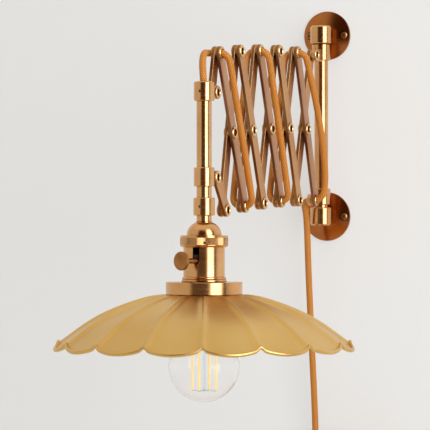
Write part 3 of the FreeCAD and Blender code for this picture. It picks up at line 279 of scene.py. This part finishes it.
# pressed vulcanised fibre: dark matt board with a felted grain
pressedFibre = plainSolid("vulcanisedFibre", {
    "dark": "#1E1A17", "light": "#322B25", "ior": 1.45, "roughness": 0.75, "grain": 900.0,
    "bump": 0.3})
# injection moulded PVC with a sparked grain
mouldedPlug = plainSolid("mouldedPvc", {
    "dark": "#B06E28", "light": "#BC7A32", "ior": 1.53, "roughness": 0.45, "grain": 1500.0,
    "bump": 0.2})


def clearGlass(name, look):
    material, tree, shader = startMaterial(name, {"Roughness": look["roughness"],
                                                  "IOR": look["ior"],
                                                  "Transmission Weight": 1.0})
    shader.inputs["Base Color"].default_value = linearOf(look["tint"])
    place = addNode(tree, "ShaderNodeTexCoord")
    waves = addNode(tree, "ShaderNodeTexNoise", inputs={"Scale": 22.0, "Detail": 1.0},
                    links={"Vector": place.outputs["Object"]})
    bump = addNode(tree, "ShaderNodeBump", inputs={"Strength": 0.03, "Distance": 0.0004},
                   links={"Height": waves.outputs["Fac"]})
    tree.links.new(bump.outputs["Normal"], shader.inputs["Normal"])
    return material


# blown soda-lime glass, so thin that it bends light less than a solid piece: faint edges
bulbGlass = clearGlass("blownSodaGlass", {"tint": "#FFFFFF", "roughness": 0.0, "ior": 1.25})
# drawn lead-glass rod and its wires: clear and faintly blue
frameGlass = clearGlass("drawnLeadGlass", {"tint": "#E2EEF4", "roughness": 0.02, "ior": 1.5})


def ledStrip(name, look):
    # phosphor silicone over a row of chips: warm and faintly lit, banded where the chips lie
    material, tree, shader = startMaterial(name, {"Roughness": 0.35, "IOR": 1.41,
                                                  "Emission Strength": look["glow"]})
    place = addNode(tree, "ShaderNodeTexCoord")
    chips = addNode(tree, "ShaderNodeTexWave",
                    {"wave_type": "BANDS", "bands_direction": "Z"},
                    {"Scale": look["chips"], "Distortion": 0.0},
                    {"Vector": place.outputs["Object"]})
    colour = addNode(tree, "ShaderNodeValToRGB", links={"Fac": chips.outputs["Fac"]},
                     stops=[(0.2, look["dark"]), (0.8, look["light"])])
    tree.links.new(colour.outputs["Color"], shader.inputs["Base Color"])
    tree.links.new(colour.outputs["Color"], shader.inputs["Emission Color"])
    return material


amberStrip = ledStrip("phosphorSilicone", {"dark": "#F0C368", "light": "#FBDD97", "glow": 0.6,
                                           "chips": 160.0})


def braidedYarn(name, look):
    # the piece's own UV runs in braid pitches along the cord and in strands round it
    material, tree, shader = startMaterial(name, {"Roughness": look["roughness"], "IOR": 1.5,
                                                  "Sheen Weight": look["sheen"],
                                                  "Sheen Roughness": 0.4})
    place = addNode(tree, "ShaderNodeUVMap", {"uv_map": "braid"})
    split = addNode(tree, "ShaderNodeSeparateXYZ", links={"Vector": place.outputs["UV"]})
    crests = []
    for sign in (1.0, -1.0):
        turned = addNode(tree, "ShaderNodeMath", {"operation": "MULTIPLY_ADD"}, {1: sign},
                         {0: split.outputs["Y"], 2: split.outputs["X"]})
        wave = addNode(tree, "ShaderNodeMath", {"operation": "MULTIPLY"}, {1: math.tau},
                       {0: turned.outputs["Value"]})
        crests.append(addNode(tree, "ShaderNodeMath", {"operation": "SINE"},
                              links={0: wave.outputs["Value"]}))
    over = addNode(tree, "ShaderNodeMath", {"operation": "MAXIMUM"},
                   links={0: crests[0].outputs["Value"], 1: crests[1].outputs["Value"]})
    level = addNode(tree, "ShaderNodeMapRange", inputs={"From Min": -0.6, "From Max": 1.0},
                    links={"Value": over.outputs["Value"]})
    # darker in the gaps between strands and lighter on their crests: painted shade and painted
    # highlight
    colour = addNode(tree, "ShaderNodeValToRGB", links={"Fac": level.outputs["Result"]},
                     stops=[(0.0, look["gap"]), (0.45, look["thread"]), (1.0, look["crestHighlight"])])
    tree.links.new(colour.outputs["Color"], shader.inputs["Base Color"])
    bump = addNode(tree, "ShaderNodeBump", inputs={"Strength": look["bump"], "Distance": 0.0004},
                   links={"Height": level.outputs["Result"]})
    tree.links.new(bump.outputs["Normal"], shader.inputs["Normal"])
    return material


# rayon braided over the wires: golden orange, crossing strands with a dark line of painted shade
# between each and a painted highlight on each crest
rayonBraid = braidedYarn("rayonBraid", {
    "gap": "#9A5A16", "thread": "#C47826", "crestHighlight": "#D68A30", "roughness": 0.6, "sheen": 0.06,
    "bump": 0.22})
# cotton webbing of the cord's tie: brown, coarser and drier, with the same painted shade and
# highlight on its weave
cottonWebbing = braidedYarn("cottonWebbing", {
    "gap": "#4E3010", "thread": "#7E5422", "crestHighlight": "#946630", "roughness": 0.85, "sheen": 0.1,
    "bump": 0.5})

finishes = {
    "top_wall_plate": spunCopper, "bottom_wall_plate": spunCopper,
    "wall_screws": platedScrew, "wall_grub_screw": platedScrew, "stem_grub_screws": platedScrew,
    "shade": goldLacquer, "knurled_ring": knurledCopper, "switch_key": turnedKnob,
    "bulb_glass": bulbGlass, "filament_frame": frameGlass,
    "bulb_base": nickelBase, "led_filaments": amberStrip, "socket_contacts": bareBrass,
    "socket_core": mouldedPhenolic, "insulating_liner": pressedFibre,
    "mains_plug": mouldedPlug, "cord_tie": cottonWebbing,
    "top_link": tumbledBar, "bottom_link": tumbledBar,
    "right_bar_1": shadedPinkBar, "right_bar_3": shadedPinkBar, "right_bar_5": shadedPinkBar,
}


def finishOf(name):
    if name in finishes:
        return finishes[name]
    if "_bar_" in name:
        return tumbledBar
    if "rivet" in name:
        return rolledEyelet
    if "cord" in name or "lead" in name:
        return rayonBraid
    return satinCopper


for name, item in nodes.items():
    item.data.materials.clear()
    item.data.materials.append(finishOf(name))
print("finishes given to the solid parts")

# pivots of the scissor arm that the cord goes through: reach from the wall and height, in mm
pivot = {"T1": (311.760, 63.438), "B2": (246.116, -90.120), "T3": (205.220, 71.795),
         "B4": (145.635, -84.214), "T5": (98.434, 75.977), "B6": (45.000, -82.244)}
stemReach, stemTop = 346.860, 33.185
# how far to the left the arch comes into its eyelet and the lead leaves its own
archSide, leadSide = -12.6, -11.6
# how a length lies beside its bar: share of the bar, stand-off from the arm's middle, bow in mm
rightLie = [(0.0, 11.2, 0.0), (0.125, 12.0, -0.6), (0.37, 12.2, -1.4), (0.63, 12.2, -0.8),
            (0.875, 11.6, 0.0), (1.0, 11.2, 0.0)]
lastLie = [(0.0, 11.2, 0.0), (0.11, 12.8, 1.4), (0.36, 15.6, 4.6), (0.62, 16.6, 7.0),
           (0.87, 15.4, 6.2), (1.0, 11.2, 0.0)]
leftLie = [(0.0, 11.2, 0.0), (0.125, 10.8, 1.6), (0.37, 10.0, 3.4), (0.63, 9.8, 2.2),
           (0.875, 10.7, 1.2), (1.0, 11.2, 0.0)]
cordMake = {"diameter": 0.007, "sides": 20, "pitch": 0.0042, "strands": 8, "resolution": 12}


def pivotPoint(name, x=0.0):
    reach, height = pivot[name]
    return Vector((x, -reach, height))


def runPoints(start, end, side, lie):
    first, last = pivotPoint(start), pivotPoint(end)
    along = last - first
    bow = Vector((1, 0, 0)).cross(along).normalized()
    between = [first + along * share + Vector((side * stand, 0, 0)) + bow * sway
               for share, stand, sway in lie]
    return [first, *between, last]


def centreLine(name, points):
    # the smooth line that the cord follows, read from its own spline
    curve = bpy.data.curves.new(name + "Line", "CURVE")
    curve.dimensions = "3D"
    curve.resolution_u = cordMake["resolution"]
    spline = curve.splines.new("NURBS")
    spline.points.add(len(points) - 1)
    for point, place in zip(spline.points, points):
        point.co = (*(place * 0.001), 1.0)
    spline.order_u = 3
    spline.use_endpoint_u = True
    holder = bpy.data.objects.new(name + "Line", curve)
    sceneNow.collection.objects.link(holder)
    bpy.context.view_layer.update()
    shown = holder.evaluated_get(bpy.context.evaluated_depsgraph_get())
    mesh = bpy.data.meshes.new_from_object(shown)
    line = [vertex.co.copy() for vertex in mesh.vertices]
    bpy.data.objects.remove(holder)
    bpy.data.meshes.remove(mesh)
    return line


def cordTube(name, points, body, stoodFor):
    line = centreLine(name, points)
    radius, sides = cordMake["diameter"] / 2, cordMake["sides"]
    work = bmesh.new()
    braid = work.loops.layers.uv.new("braid")
    across = (line[1] - line[0]).orthogonal().normalized()
    rings, lengths = [], [0.0]
    for index, place in enumerate(line):
        ahead = (line[min(index + 1, len(line) - 1)] - line[max(index - 1, 0)]).normalized()
        across = (across - ahead * across.dot(ahead)).normalized()
        other = ahead.cross(across)
        if index:
            lengths.append(lengths[-1] + (place - line[index - 1]).length)
        ring = []
        for side in range(sides):
            angle = math.tau * side / sides
            ring.append(work.verts.new(place + (across * math.cos(angle)
                                                + other * math.sin(angle)) * radius))
        rings.append(ring)
    for index in range(len(rings) - 1):
        for side in range(sides):
            following = (side + 1) % sides
            face = work.faces.new((rings[index][side], rings[index][following],
                                   rings[index + 1][following], rings[index + 1][side]))
            face.smooth = True
            corners = ((side, index), (side + 1, index), (side + 1, index + 1), (side, index + 1))
            for loop, (turn, station) in zip(face.loops, corners):
                loop[braid].uv = (lengths[station] / cordMake["pitch"],
                                  turn / sides * cordMake["strands"])
    work.faces.new(list(reversed(rings[0])))
    work.faces.new(rings[-1])
    mesh = bpy.data.meshes.new(name)
    work.to_mesh(mesh)
    work.free()
    tube = bpy.data.objects.new(name, mesh)
    tube.data.materials.append(rayonBraid)
    sceneNow.collection.objects.link(tube)
    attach(tube, body)
    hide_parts(*stoodFor)
    return tube, line, lengths[-1]


armRuns = [("cordRun1", "T1", "B2", 1, rightLie, "right_1", "cord_run_1"),
           ("cordRun2", "B2", "T3", -1, leftLie, "left_2", "cord_run_2"),
           ("cordRun3", "T3", "B4", 1, rightLie, "right_3", "cord_run_3"),
           ("cordRun4", "B4", "T5", -1, leftLie, "left_4", "cord_run_4"),
           ("cordRun5", "T5", "B6", 1, lastLie, "right_5", "cord_run_5")]
for name, start, end, side, lie, body, solid in armRuns:
    cordTube(name, runPoints(start, end, side, lie), body, [solid])

# out of the stem and over into the arm: x, reach past the stem, height above the stem's top
archLie = [(0.0, 0.0, -7.0), (-0.7, 0.1, 3.2), (-2.8, -3.1, 11.5), (-6.2, -10.5, 20.0),
           (-9.5, -20.0, 26.8), (-11.4, -28.8, 30.4)]
archPoints = [Vector((x, -(stemReach + reach), stemTop + height)) for x, reach, height in archLie]
archPoints += [pivotPoint("T1", archSide), pivotPoint("T1")]
cordTube("cordArch", archPoints, "top_link", ["cord_arch"])

# down the wall to the put-away coil: x, reach from the wall and height
leadLie = [(-11.5, 36.0, -96.0), (-11.4, 33.0, -118.0), (-11.2, 30.2, -158.0),
           (-10.4, 26.4, -207.0), (-9.8, 21.6, -256.0), (-9.0, 17.8, -300.0),
           (-8.4, 15.2, -343.0)]
leadEnd = Vector((-8.4, -15.2, -384.244))
coilMake = {"inner": 30.4, "step": 8.3, "layerTurns": 1.5, "layers": 4, "pointsPerTurn": 16,
            "drop": 7.0, "tail": 26.0}


def coilPoints(start):
    # spirals in and out over the layers and climbs where it reverses
    make = coilMake
    inner, step, layers = make["inner"], make["step"], make["layers"]
    outer = inner + make["layerTurns"] * step
    perTurn = make["pointsPerTurn"]
    stations, turned = [], 0.0
    half = perTurn // 2
    for layer in range(layers):
        inward = layer % 2 == 0
        for count in range(int(make["layerTurns"] * perTurn)):
            grown = count / perTurn * step
            stations.append((turned, outer - grown if inward else inner + grown, layer * step))
            turned += 1 / perTurn
        if layer < layers - 1:
            for count in range(half):
                share = count / half
                rise = share * share * (3 - 2 * share)
                stations.append((turned, inner if inward else outer, (layer + rise) * step))
                turned += 1 / perTurn
    for count in range(half + 1):
        stations.append((turned, outer + count / perTurn * step, (layers - 1) * step))
        turned += 1 / perTurn
    centre = start + Vector((outer, 0, -make["drop"]))
    widen = 1 / (0.75 + 0.25 * math.cos(math.tau / perTurn))   # the spline cuts inside its points
    points = []
    for turned, radius, depth in stations:
        angle = math.tau * turned
        points.append(centre + Vector((-radius * widen * math.cos(angle), -depth,
                                       -radius * widen * math.sin(angle))))
    last = points[-1]
    return points + [last + Vector((0, 0, -make["tail"] * share)) for share in (0.5, 1.0)]


leadPoints = [pivotPoint("B6"), pivotPoint("B6", leadSide)]
leadPoints += [Vector((x, -reach, z)) for x, reach, z in leadLie] + [leadEnd]
leadPoints += coilPoints(leadEnd)
lead, leadLine, leadLength = cordTube("mainsLead", leadPoints, "wall_slider",
                                      ["hanging_lead", "lead_coil"])
# from inside the lampholder to just below the arch's start
stemCordEnds = (-114.39, stemTop - 8.8)
stemCord = [Vector((0, -stemReach, stemCordEnds[0] + (stemCordEnds[1] - stemCordEnds[0]) * share))
            for share in (0.0, 0.4, 0.7, 1.0)]
cordTube("stemCord", stemCord, "stem", ["stem_cord"])
print("cords made, mains lead", round(leadLength, 3), "m")


# edges sharper than this stay crisp; points closer than these, in metres, are one
crispAngle = math.radians(30)
profileGap, seamGap = 0.00001, 0.00002


def startPiece(name):
    piece = bpy.context.active_object
    piece.name = name
    piece.data.name = name
    return piece


def pickPoints(piece, test):
    work = bmesh.from_edit_mesh(piece.data)
    work.verts.ensure_lookup_table()
    for vertex in work.verts:
        vertex.select = test(vertex)
    work.select_flush_mode()
    bmesh.update_edit_mesh(piece.data)
    return work


def settlePiece(piece, body, stoodFor, finish):
    bpy.ops.object.transform_apply(location=True, rotation=True, scale=True)
    piece.data.materials.clear()
    piece.data.materials.append(finish)
    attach(piece, body)
    if stoodFor:
        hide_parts(*stoodFor)


# shade, in mm: reach from its axis and drop below the fitter's lower edge
shadeMake = {
    "petals": 16, "columns": 12, "wall": 0.9,
    "ribHeight": 2.7, "ribOffsets": (0.0, 1.7, 3.5, 5.6), "ribShares": (1.0, 0.74, 0.22, 0.0),
    "ribFrom": 37.0, "ribFull": 50.0, "narrowPetal": 7.5,
    "cuspIn": 4.4, "cuspLift": 4.9, "flatTo": 38.4, "tip": 150.5,
    "neck": [(16.2, -10.9), (35.6, -10.9), (36.6, -9.9), (36.6, -1.0), (37.2, 0.2)],
    "slope": [(38.4, 0.7), (43.0, 1.7), (48.0, 2.9), (58.0, 5.6), (67.6, 8.6), (77.5, 12.3),
              (87.0, 16.1), (96.7, 20.3), (105.0, 24.4), (112.5, 28.7), (119.0, 32.8),
              (125.5, 37.3), (131.7, 41.9), (138.0, 46.7), (143.9, 51.0), (146.6, 53.0)],
    "lip": [(147.0, 53.9), (147.7, 52.6), (149.2, 52.2), (150.5, 53.0), (151.0, 54.6),
            (150.2, 56.1), (148.4, 56.6), (147.0, 55.7)],
}


def shadeProfile(make):
    outer = make["neck"] + make["slope"]
    inner = []
    for index, (reach, drop) in enumerate(outer):
        before, after = outer[max(index - 1, 0)], outer[min(index + 1, len(outer) - 1)]
        along = Vector((after[0] - before[0], after[1] - before[1])).normalized()
        inner.append((reach - along.y * make["wall"], drop + along.x * make["wall"]))
    return outer + make["lip"] + list(reversed(inner))


def petalPlace(make, reach, turn, petalAngle):
    # turn goes from 0 at one seam to 1 at the next; points crowd towards the seams
    column = round(turn * make["columns"])
    fromSeam = min(column, make["columns"] - column)
    halfWidth = reach * math.radians(petalAngle) / 2
    narrow = min(1.0, halfWidth / make["narrowPetal"])
    offsets = [step * narrow for step in make["ribOffsets"]]
    between = make["columns"] // 2 - len(offsets) + 1
    offsets += [offsets[-1] + (halfWidth - offsets[-1]) * (step + 1) / between
                for step in range(between)]
    shares = [*make["ribShares"], *[0.0] * between]
    swing = offsets[fromSeam] / halfWidth / 2
    place = swing if column <= make["columns"] // 2 else 1 - swing
    outward = 1 - offsets[fromSeam] / halfWidth
    share = max(0.0, (reach - make["flatTo"]) / (make["tip"] - make["flatTo"]))
    ribGrown = min(1.0, max(0.0, (reach - make["ribFrom"]) / (make["ribFull"] - make["ribFrom"])))
    lift = make["cuspLift"] * share * outward ** 2 + make["ribHeight"] * shares[fromSeam] * ribGrown
    return place * petalAngle, reach - make["cuspIn"] * share * outward ** 2, lift


def makeShade(make):
    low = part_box("fitter_ring")[0][2] * 1000
    petalAngle = 360 / make["petals"]
    axis = Vector((0, stemAxis, 0))
    profile = shadeProfile(make)
    bpy.ops.object.select_all(action="DESELECT")
    firstReach, firstDrop = profile[0]
    start = Vector((0, stemAxis - firstReach / 1000, (low - firstDrop) / 1000))
    bpy.ops.mesh.primitive_plane_add(size=0.001, location=start)
    piece = startPiece("scallopedShade")
    bpy.ops.object.mode_set(mode="EDIT")
    bpy.ops.mesh.merge(type="CENTER")
    for before, after in zip(profile, profile[1:] + profile[:1]):
        step = (0, (before[0] - after[0]) / 1000, (before[1] - after[1]) / 1000)
        bpy.ops.mesh.extrude_region_move(TRANSFORM_OT_translate={"value": step})
    bpy.ops.mesh.select_all(action="SELECT")
    bpy.ops.mesh.remove_doubles(threshold=profileGap)
    bpy.ops.mesh.select_all(action="SELECT")
    bpy.ops.mesh.spin(steps=make["columns"], angle=math.radians(petalAngle), center=axis,
                      axis=(0, 0, 1))
    work = pickPoints(piece, lambda vertex: False)
    origin = piece.matrix_world.translation.copy()
    total = len(work.verts)
    for number in range(total):
        work = pickPoints(piece, lambda vertex: vertex.index == number)
        here = work.verts[number].co + origin - axis
        reach = math.hypot(here.x, here.y) * 1000
        turn = abs(math.degrees(math.atan2(here.x, -here.y))) / petalAngle
        side = 1 if here.x >= 0 else -1
        angle, out, lift = petalPlace(make, reach, turn, petalAngle)
        there = Vector((side * math.sin(math.radians(angle)) * out / 1000,
                        -math.cos(math.radians(angle)) * out / 1000, here.z + lift / 1000))
        bpy.ops.transform.translate(value=there - here)
    bpy.ops.mesh.select_all(action="SELECT")
    copies = make["petals"] - 1
    bpy.ops.mesh.spin(steps=copies, dupli=True, angle=math.radians(petalAngle) * copies,
                      center=axis, axis=(0, 0, 1))
    bpy.ops.mesh.select_all(action="SELECT")
    bpy.ops.mesh.remove_doubles(threshold=seamGap)
    bpy.ops.mesh.select_all(action="SELECT")
    bpy.ops.mesh.normals_make_consistent(inside=False)
    bpy.ops.object.mode_set(mode="OBJECT")
    smoothing = piece.modifiers.new("smoothing", "SUBSURF")
    smoothing.levels = smoothing.render_levels = 1
    bpy.ops.object.modifier_apply(modifier="smoothing")
    bpy.ops.object.shade_smooth()
    settlePiece(piece, "stem", ["shade"], goldLacquer)
    print("shade made,", len(piece.data.polygons), "faces")


makeShade(shadeMake)

# strap of the put-away coil, in the place of the plain tie
tieMake = {"thickness": 0.0012, "corner": 0.004, "threads": 0.0009}


def makeTie(make):
    low, high = (Vector(corner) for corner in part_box("cord_tie"))
    middle, span = (low + high) / 2, high - low
    bpy.ops.object.select_all(action="DESELECT")
    bpy.ops.mesh.primitive_cube_add(size=1.0, location=middle, scale=span)
    piece = startPiece("coilStrap")
    bpy.ops.object.transform_apply(location=False, rotation=False, scale=True)
    bpy.ops.object.mode_set(mode="EDIT")
    bpy.ops.mesh.select_mode(type="FACE")
    work = bmesh.from_edit_mesh(piece.data)
    for face in work.faces:
        face.select = abs(face.normal.z) > 0.9
    bmesh.update_edit_mesh(piece.data)
    bpy.ops.mesh.delete(type="FACE")
    bpy.ops.mesh.select_mode(type="EDGE")
    work = bmesh.from_edit_mesh(piece.data)
    for edge in work.edges:
        ends = edge.verts[0].co - edge.verts[1].co
        edge.select = abs(ends.z) > span.z * 0.9
    bmesh.update_edit_mesh(piece.data)
    bpy.ops.mesh.bevel(offset=make["corner"], segments=4)
    bpy.ops.mesh.select_all(action="SELECT")
    bpy.ops.mesh.normals_make_consistent(inside=False)
    bpy.ops.object.mode_set(mode="OBJECT")
    wall = piece.modifiers.new("wall", "SOLIDIFY")
    wall.thickness = make["thickness"]
    wall.offset = -1.0
    bpy.ops.object.modifier_apply(modifier="wall")
    braid = piece.data.uv_layers.new(name="braid")
    for loop in piece.data.loops:
        place = piece.data.vertices[loop.vertex_index].co
        around = place.x + place.y
        braid.data[loop.index].uv = (around / make["threads"], place.z / make["threads"])
    bpy.ops.object.shade_smooth_by_angle(angle=crispAngle)
    settlePiece(piece, "wall_slider", ["cord_tie"], cottonWebbing)
    return piece


strap = makeTie(tieMake)

# the lead's plug, in mm: a moulded body with grip ridges, a ringed strain relief, two blades
plugMake = {"round": 3.0, "neckRadius": 5.1, "neckLength": 12.0, "rings": 4, "ringGap": 1.2,
            "coreRadius": 4.3, "grips": (-5.0, 0.0, 5.0), "gripTall": 1.8, "gripOut": 0.6,
            "gripShare": 0.62, "gripRound": 0.5, "blade": (1.5, 6.3, 16.0), "bladeApart": 6.35,
            "bladeHidden": 2.0, "bladeRound": 0.35}


def addBlock(place, size, rounding, segments):
    bpy.ops.object.select_all(action="DESELECT")
    bpy.ops.mesh.primitive_cube_add(size=1.0, location=Vector(place) * 0.001,
                                    scale=Vector(size) * 0.001)
    bpy.ops.object.transform_apply(location=False, rotation=False, scale=True)
    bpy.ops.object.mode_set(mode="EDIT")
    bpy.ops.mesh.select_all(action="SELECT")
    bpy.ops.mesh.bevel(offset=rounding * 0.001, segments=segments)
    bpy.ops.object.mode_set(mode="OBJECT")
    return bpy.context.active_object


def addRing(place, radius, height):
    bpy.ops.object.select_all(action="DESELECT")
    bpy.ops.mesh.primitive_cylinder_add(vertices=40, radius=radius * 0.001, depth=height * 0.001,
                                        location=Vector(place) * 0.001)
    return bpy.context.active_object


def joinParts(parts, name):
    bpy.ops.object.select_all(action="DESELECT")
    for part in parts:
        part.select_set(True)
    bpy.context.view_layer.objects.active = parts[0]
    bpy.ops.object.join()
    bpy.ops.object.shade_smooth_by_angle(angle=crispAngle)
    return startPiece(name)


def makePlug(make):
    low, high = (Vector(corner) * 1000 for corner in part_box("mains_plug"))
    middle, span = (low + high) / 2, high - low
    bodyLow, bodyHigh = low.z + make["blade"][2], high.z - make["neckLength"]
    centre = Vector((middle.x, middle.y, (bodyLow + bodyHigh) / 2))
    parts = [addBlock(centre, (span.x, span.y - 2 * make["gripOut"], bodyHigh - bodyLow),
                      make["round"], 4)]
    for rise in make["grips"]:
        parts.append(addBlock(centre + Vector((0, 0, rise)),
                              (span.x * make["gripShare"], span.y, make["gripTall"]),
                              make["gripRound"], 3))
    parts.append(addRing((middle.x, middle.y, high.z - make["neckLength"] / 2),
                         make["coreRadius"], make["neckLength"]))
    pitch = make["neckLength"] / make["rings"]
    for number in range(make["rings"]):
        parts.append(addRing((middle.x, middle.y, bodyHigh + (number + 0.4) * pitch),
                             make["neckRadius"], pitch - make["ringGap"]))
    body = joinParts(parts, "mouldedPlug")
    settlePiece(body, "wall_slider", ["mains_plug"], mouldedPlug)
    wide, deep, long = make["blade"]
    blades = []
    for side in (-1, 1):
        place = (middle.x + side * make["bladeApart"], middle.y,
                 low.z + (long + make["bladeHidden"]) / 2)
        blades.append(addBlock(place, (wide, deep, long + make["bladeHidden"]),
                               make["bladeRound"], 2))
    pins = joinParts(blades, "plugBlades")
    settlePiece(pins, "wall_slider", [], bareBrass)
    return [body, pins]


plugPieces = makePlug(plugMake)
print("plug and strap made")


def stagePlane(name, make):
    bpy.ops.object.select_all(action="DESELECT")
    bpy.ops.mesh.primitive_plane_add(size=make["size"], location=make["place"],
                                     rotation=make["turn"])
    plane = startPiece(name)
    material, tree, shader = startMaterial(name + "Paint", {"Roughness": 0.95})
    shader.inputs["Base Color"].default_value = linearOf(make["colour"])
    rays = addNode(tree, "ShaderNodeLightPath")
    mirrored = addNode(tree, "ShaderNodeMath", {"operation": "MAXIMUM"},
                       links={0: rays.outputs["Is Glossy Ray"],
                              1: rays.outputs["Is Transmission Ray"]})
    straight = addNode(tree, "ShaderNodeMath", {"operation": "MAXIMUM"},
                       links={0: rays.outputs["Is Camera Ray"], 1: mirrored.outputs["Value"]})
    share = addNode(tree, "ShaderNodeMath", {"operation": "MULTIPLY"}, {1: make["flat"]},
                    {0: straight.outputs["Value"]})
    glow = addNode(tree, "ShaderNodeEmission", inputs={"Color": linearOf(make["seen"])})
    shown = addNode(tree, "ShaderNodeMixShader",
                    links={0: share.outputs["Value"], 1: shader.outputs["BSDF"],
                           2: glow.outputs["Emission"]})
    facing = addNode(tree, "ShaderNodeNewGeometry")
    clear = addNode(tree, "ShaderNodeBsdfTransparent")
    front = addNode(tree, "ShaderNodeMixShader",
                    links={0: facing.outputs["Backfacing"], 1: shown.outputs["Shader"],
                           2: clear.outputs["BSDF"]})
    tree.links.new(front.outputs["Shader"], tree.nodes["Material Output"].inputs["Surface"])
    plane.data.materials.append(material)


wallMake = {"size": 14.0, "place": (0, 0.0006, 0), "turn": (math.radians(90), 0, 0),
            "colour": "#E4E3E1", "seen": "#F8F7F5", "flat": 0.55}
floorMake = {"size": 14.0, "place": (0, -7.0, -1.6), "turn": (0, 0, 0),
             "colour": "#E4E3E1", "seen": "#F8F7F5", "flat": 0.55}
stagePlane("paleWall", wallMake)
stagePlane("paleFloor", floorMake)

# one tall window-like softbox to the right, a weak top light
lampMake = {
    "softbox": {"place": (0.95, -0.90, 0.05), "size": (0.82, 1.6), "power": 12.0,
                "aim": (0, stemAxis, -0.02)},
    "overhead": {"place": (0.2, -1.1, 1.7), "size": (1.4, 1.4), "power": 9.0,
                 "aim": (0, -0.25, -0.1)},
}
for name, look in lampMake.items():
    data = bpy.data.lights.new(name, "AREA")
    data.shape = "RECTANGLE"
    data.size, data.size_y = look["size"]
    data.energy = look["power"]
    lamp = bpy.data.objects.new(name, data)
    lamp.location = look["place"]
    lamp.visible_glossy = False   # polished metal sees the painted studio instead
    aim = Vector(look["aim"]) - Vector(look["place"])
    lamp.rotation_euler = aim.to_track_quat("-Z", "Y").to_euler()
    sceneNow.collection.objects.link(lamp)

# the studio round the lamp, as polished metal sees it: stops go round by compass, from the
# left past the back of the camera to the right, as shares of a turn; a pale ceiling above
roomMake = {"diffuse": "#F2F0EC", "diffuseLevel": 0.5, "seen": "#E6E5E3", "ceiling": "#F2E8D2",
            "ceilingFrom": 0.6, "ceilingFull": 0.8, "softboxLevel": 5.6,
            "round": [(0.0, "#D8D4CC"), (0.19, "#D8D4CC"), (0.215, "#4A3018"), (0.345, "#4A3018"),
                      (0.375, "#E8EEFC"), (0.46, "#E8EEFC"), (0.485, "#4A3018"),
                      (0.545, "#4A3018"), (0.56, "#D8D4CC"), (1.0, "#D8D4CC")],
            "softbox": [(0.365, "#000000"), (0.38, "#FFFFFF"), (0.455, "#FFFFFF"),
                        (0.47, "#000000")]}
world = bpy.data.worlds.new("studioAir")
world.use_nodes = True
sceneNow.world = world
air = world.node_tree
rays = addNode(air, "ShaderNodeLightPath")
outward = addNode(air, "ShaderNodeTexCoord")
compass = addNode(air, "ShaderNodeTexGradient", {"gradient_type": "RADIAL"},
                  links={"Vector": outward.outputs["Generated"]})
around = addNode(air, "ShaderNodeValToRGB", links={"Fac": compass.outputs["Fac"]},
                 stops=roomMake["round"])
softbox = addNode(air, "ShaderNodeValToRGB", links={"Fac": compass.outputs["Fac"]},
                  stops=roomMake["softbox"])
# at full strength only straight off the metal, so one part throws no hot spot on another
firstBounce = addNode(air, "ShaderNodeMath", {"operation": "LESS_THAN"}, {1: 1.5},
                      {0: rays.outputs["Glossy Depth"]})
band = addNode(air, "ShaderNodeMath", {"operation": "MULTIPLY"},
               links={0: softbox.outputs["Color"], 1: firstBounce.outputs["Value"]})
level = addNode(air, "ShaderNodeMath", {"operation": "MULTIPLY_ADD"},
                {1: roomMake["softboxLevel"] - 1, 2: 1.0}, {0: band.outputs["Value"]})
sides = addNode(air, "ShaderNodeBackground",
                links={"Color": around.outputs["Color"], "Strength": level.outputs["Value"]})
ceiling = addNode(air, "ShaderNodeBackground", inputs={"Color": linearOf(roomMake["ceiling"])})
height = addNode(air, "ShaderNodeSeparateXYZ", links={"Vector": outward.outputs["Generated"]})
above = addNode(air, "ShaderNodeMapRange",
                inputs={"From Min": roomMake["ceilingFrom"], "From Max": roomMake["ceilingFull"]},
                links={"Value": height.outputs["Z"]})
mirrored = addNode(air, "ShaderNodeMixShader",
                   links={0: above.outputs["Result"], 1: sides.outputs["Background"],
                          2: ceiling.outputs["Background"]})
soft = air.nodes["Background"]
soft.inputs["Color"].default_value = linearOf(roomMake["diffuse"])
soft.inputs["Strength"].default_value = roomMake["diffuseLevel"]
pale = addNode(air, "ShaderNodeBackground", inputs={"Color": linearOf(roomMake["seen"])})
metalSees = addNode(air, "ShaderNodeMixShader",
                    links={0: rays.outputs["Is Glossy Ray"], 1: soft.outputs["Background"],
                           2: mirrored.outputs["Shader"]})
direct = addNode(air, "ShaderNodeMath", {"operation": "MAXIMUM"},
                 links={0: rays.outputs["Is Camera Ray"], 1: rays.outputs["Is Transmission Ray"]})
seenAs = addNode(air, "ShaderNodeMixShader",
                 links={0: direct.outputs["Value"], 1: metalSees.outputs["Shader"],
                        2: pale.outputs["Background"]})
air.links.new(seenAs.outputs["Shader"], air.nodes["World Output"].inputs["Surface"])
print("studio set")
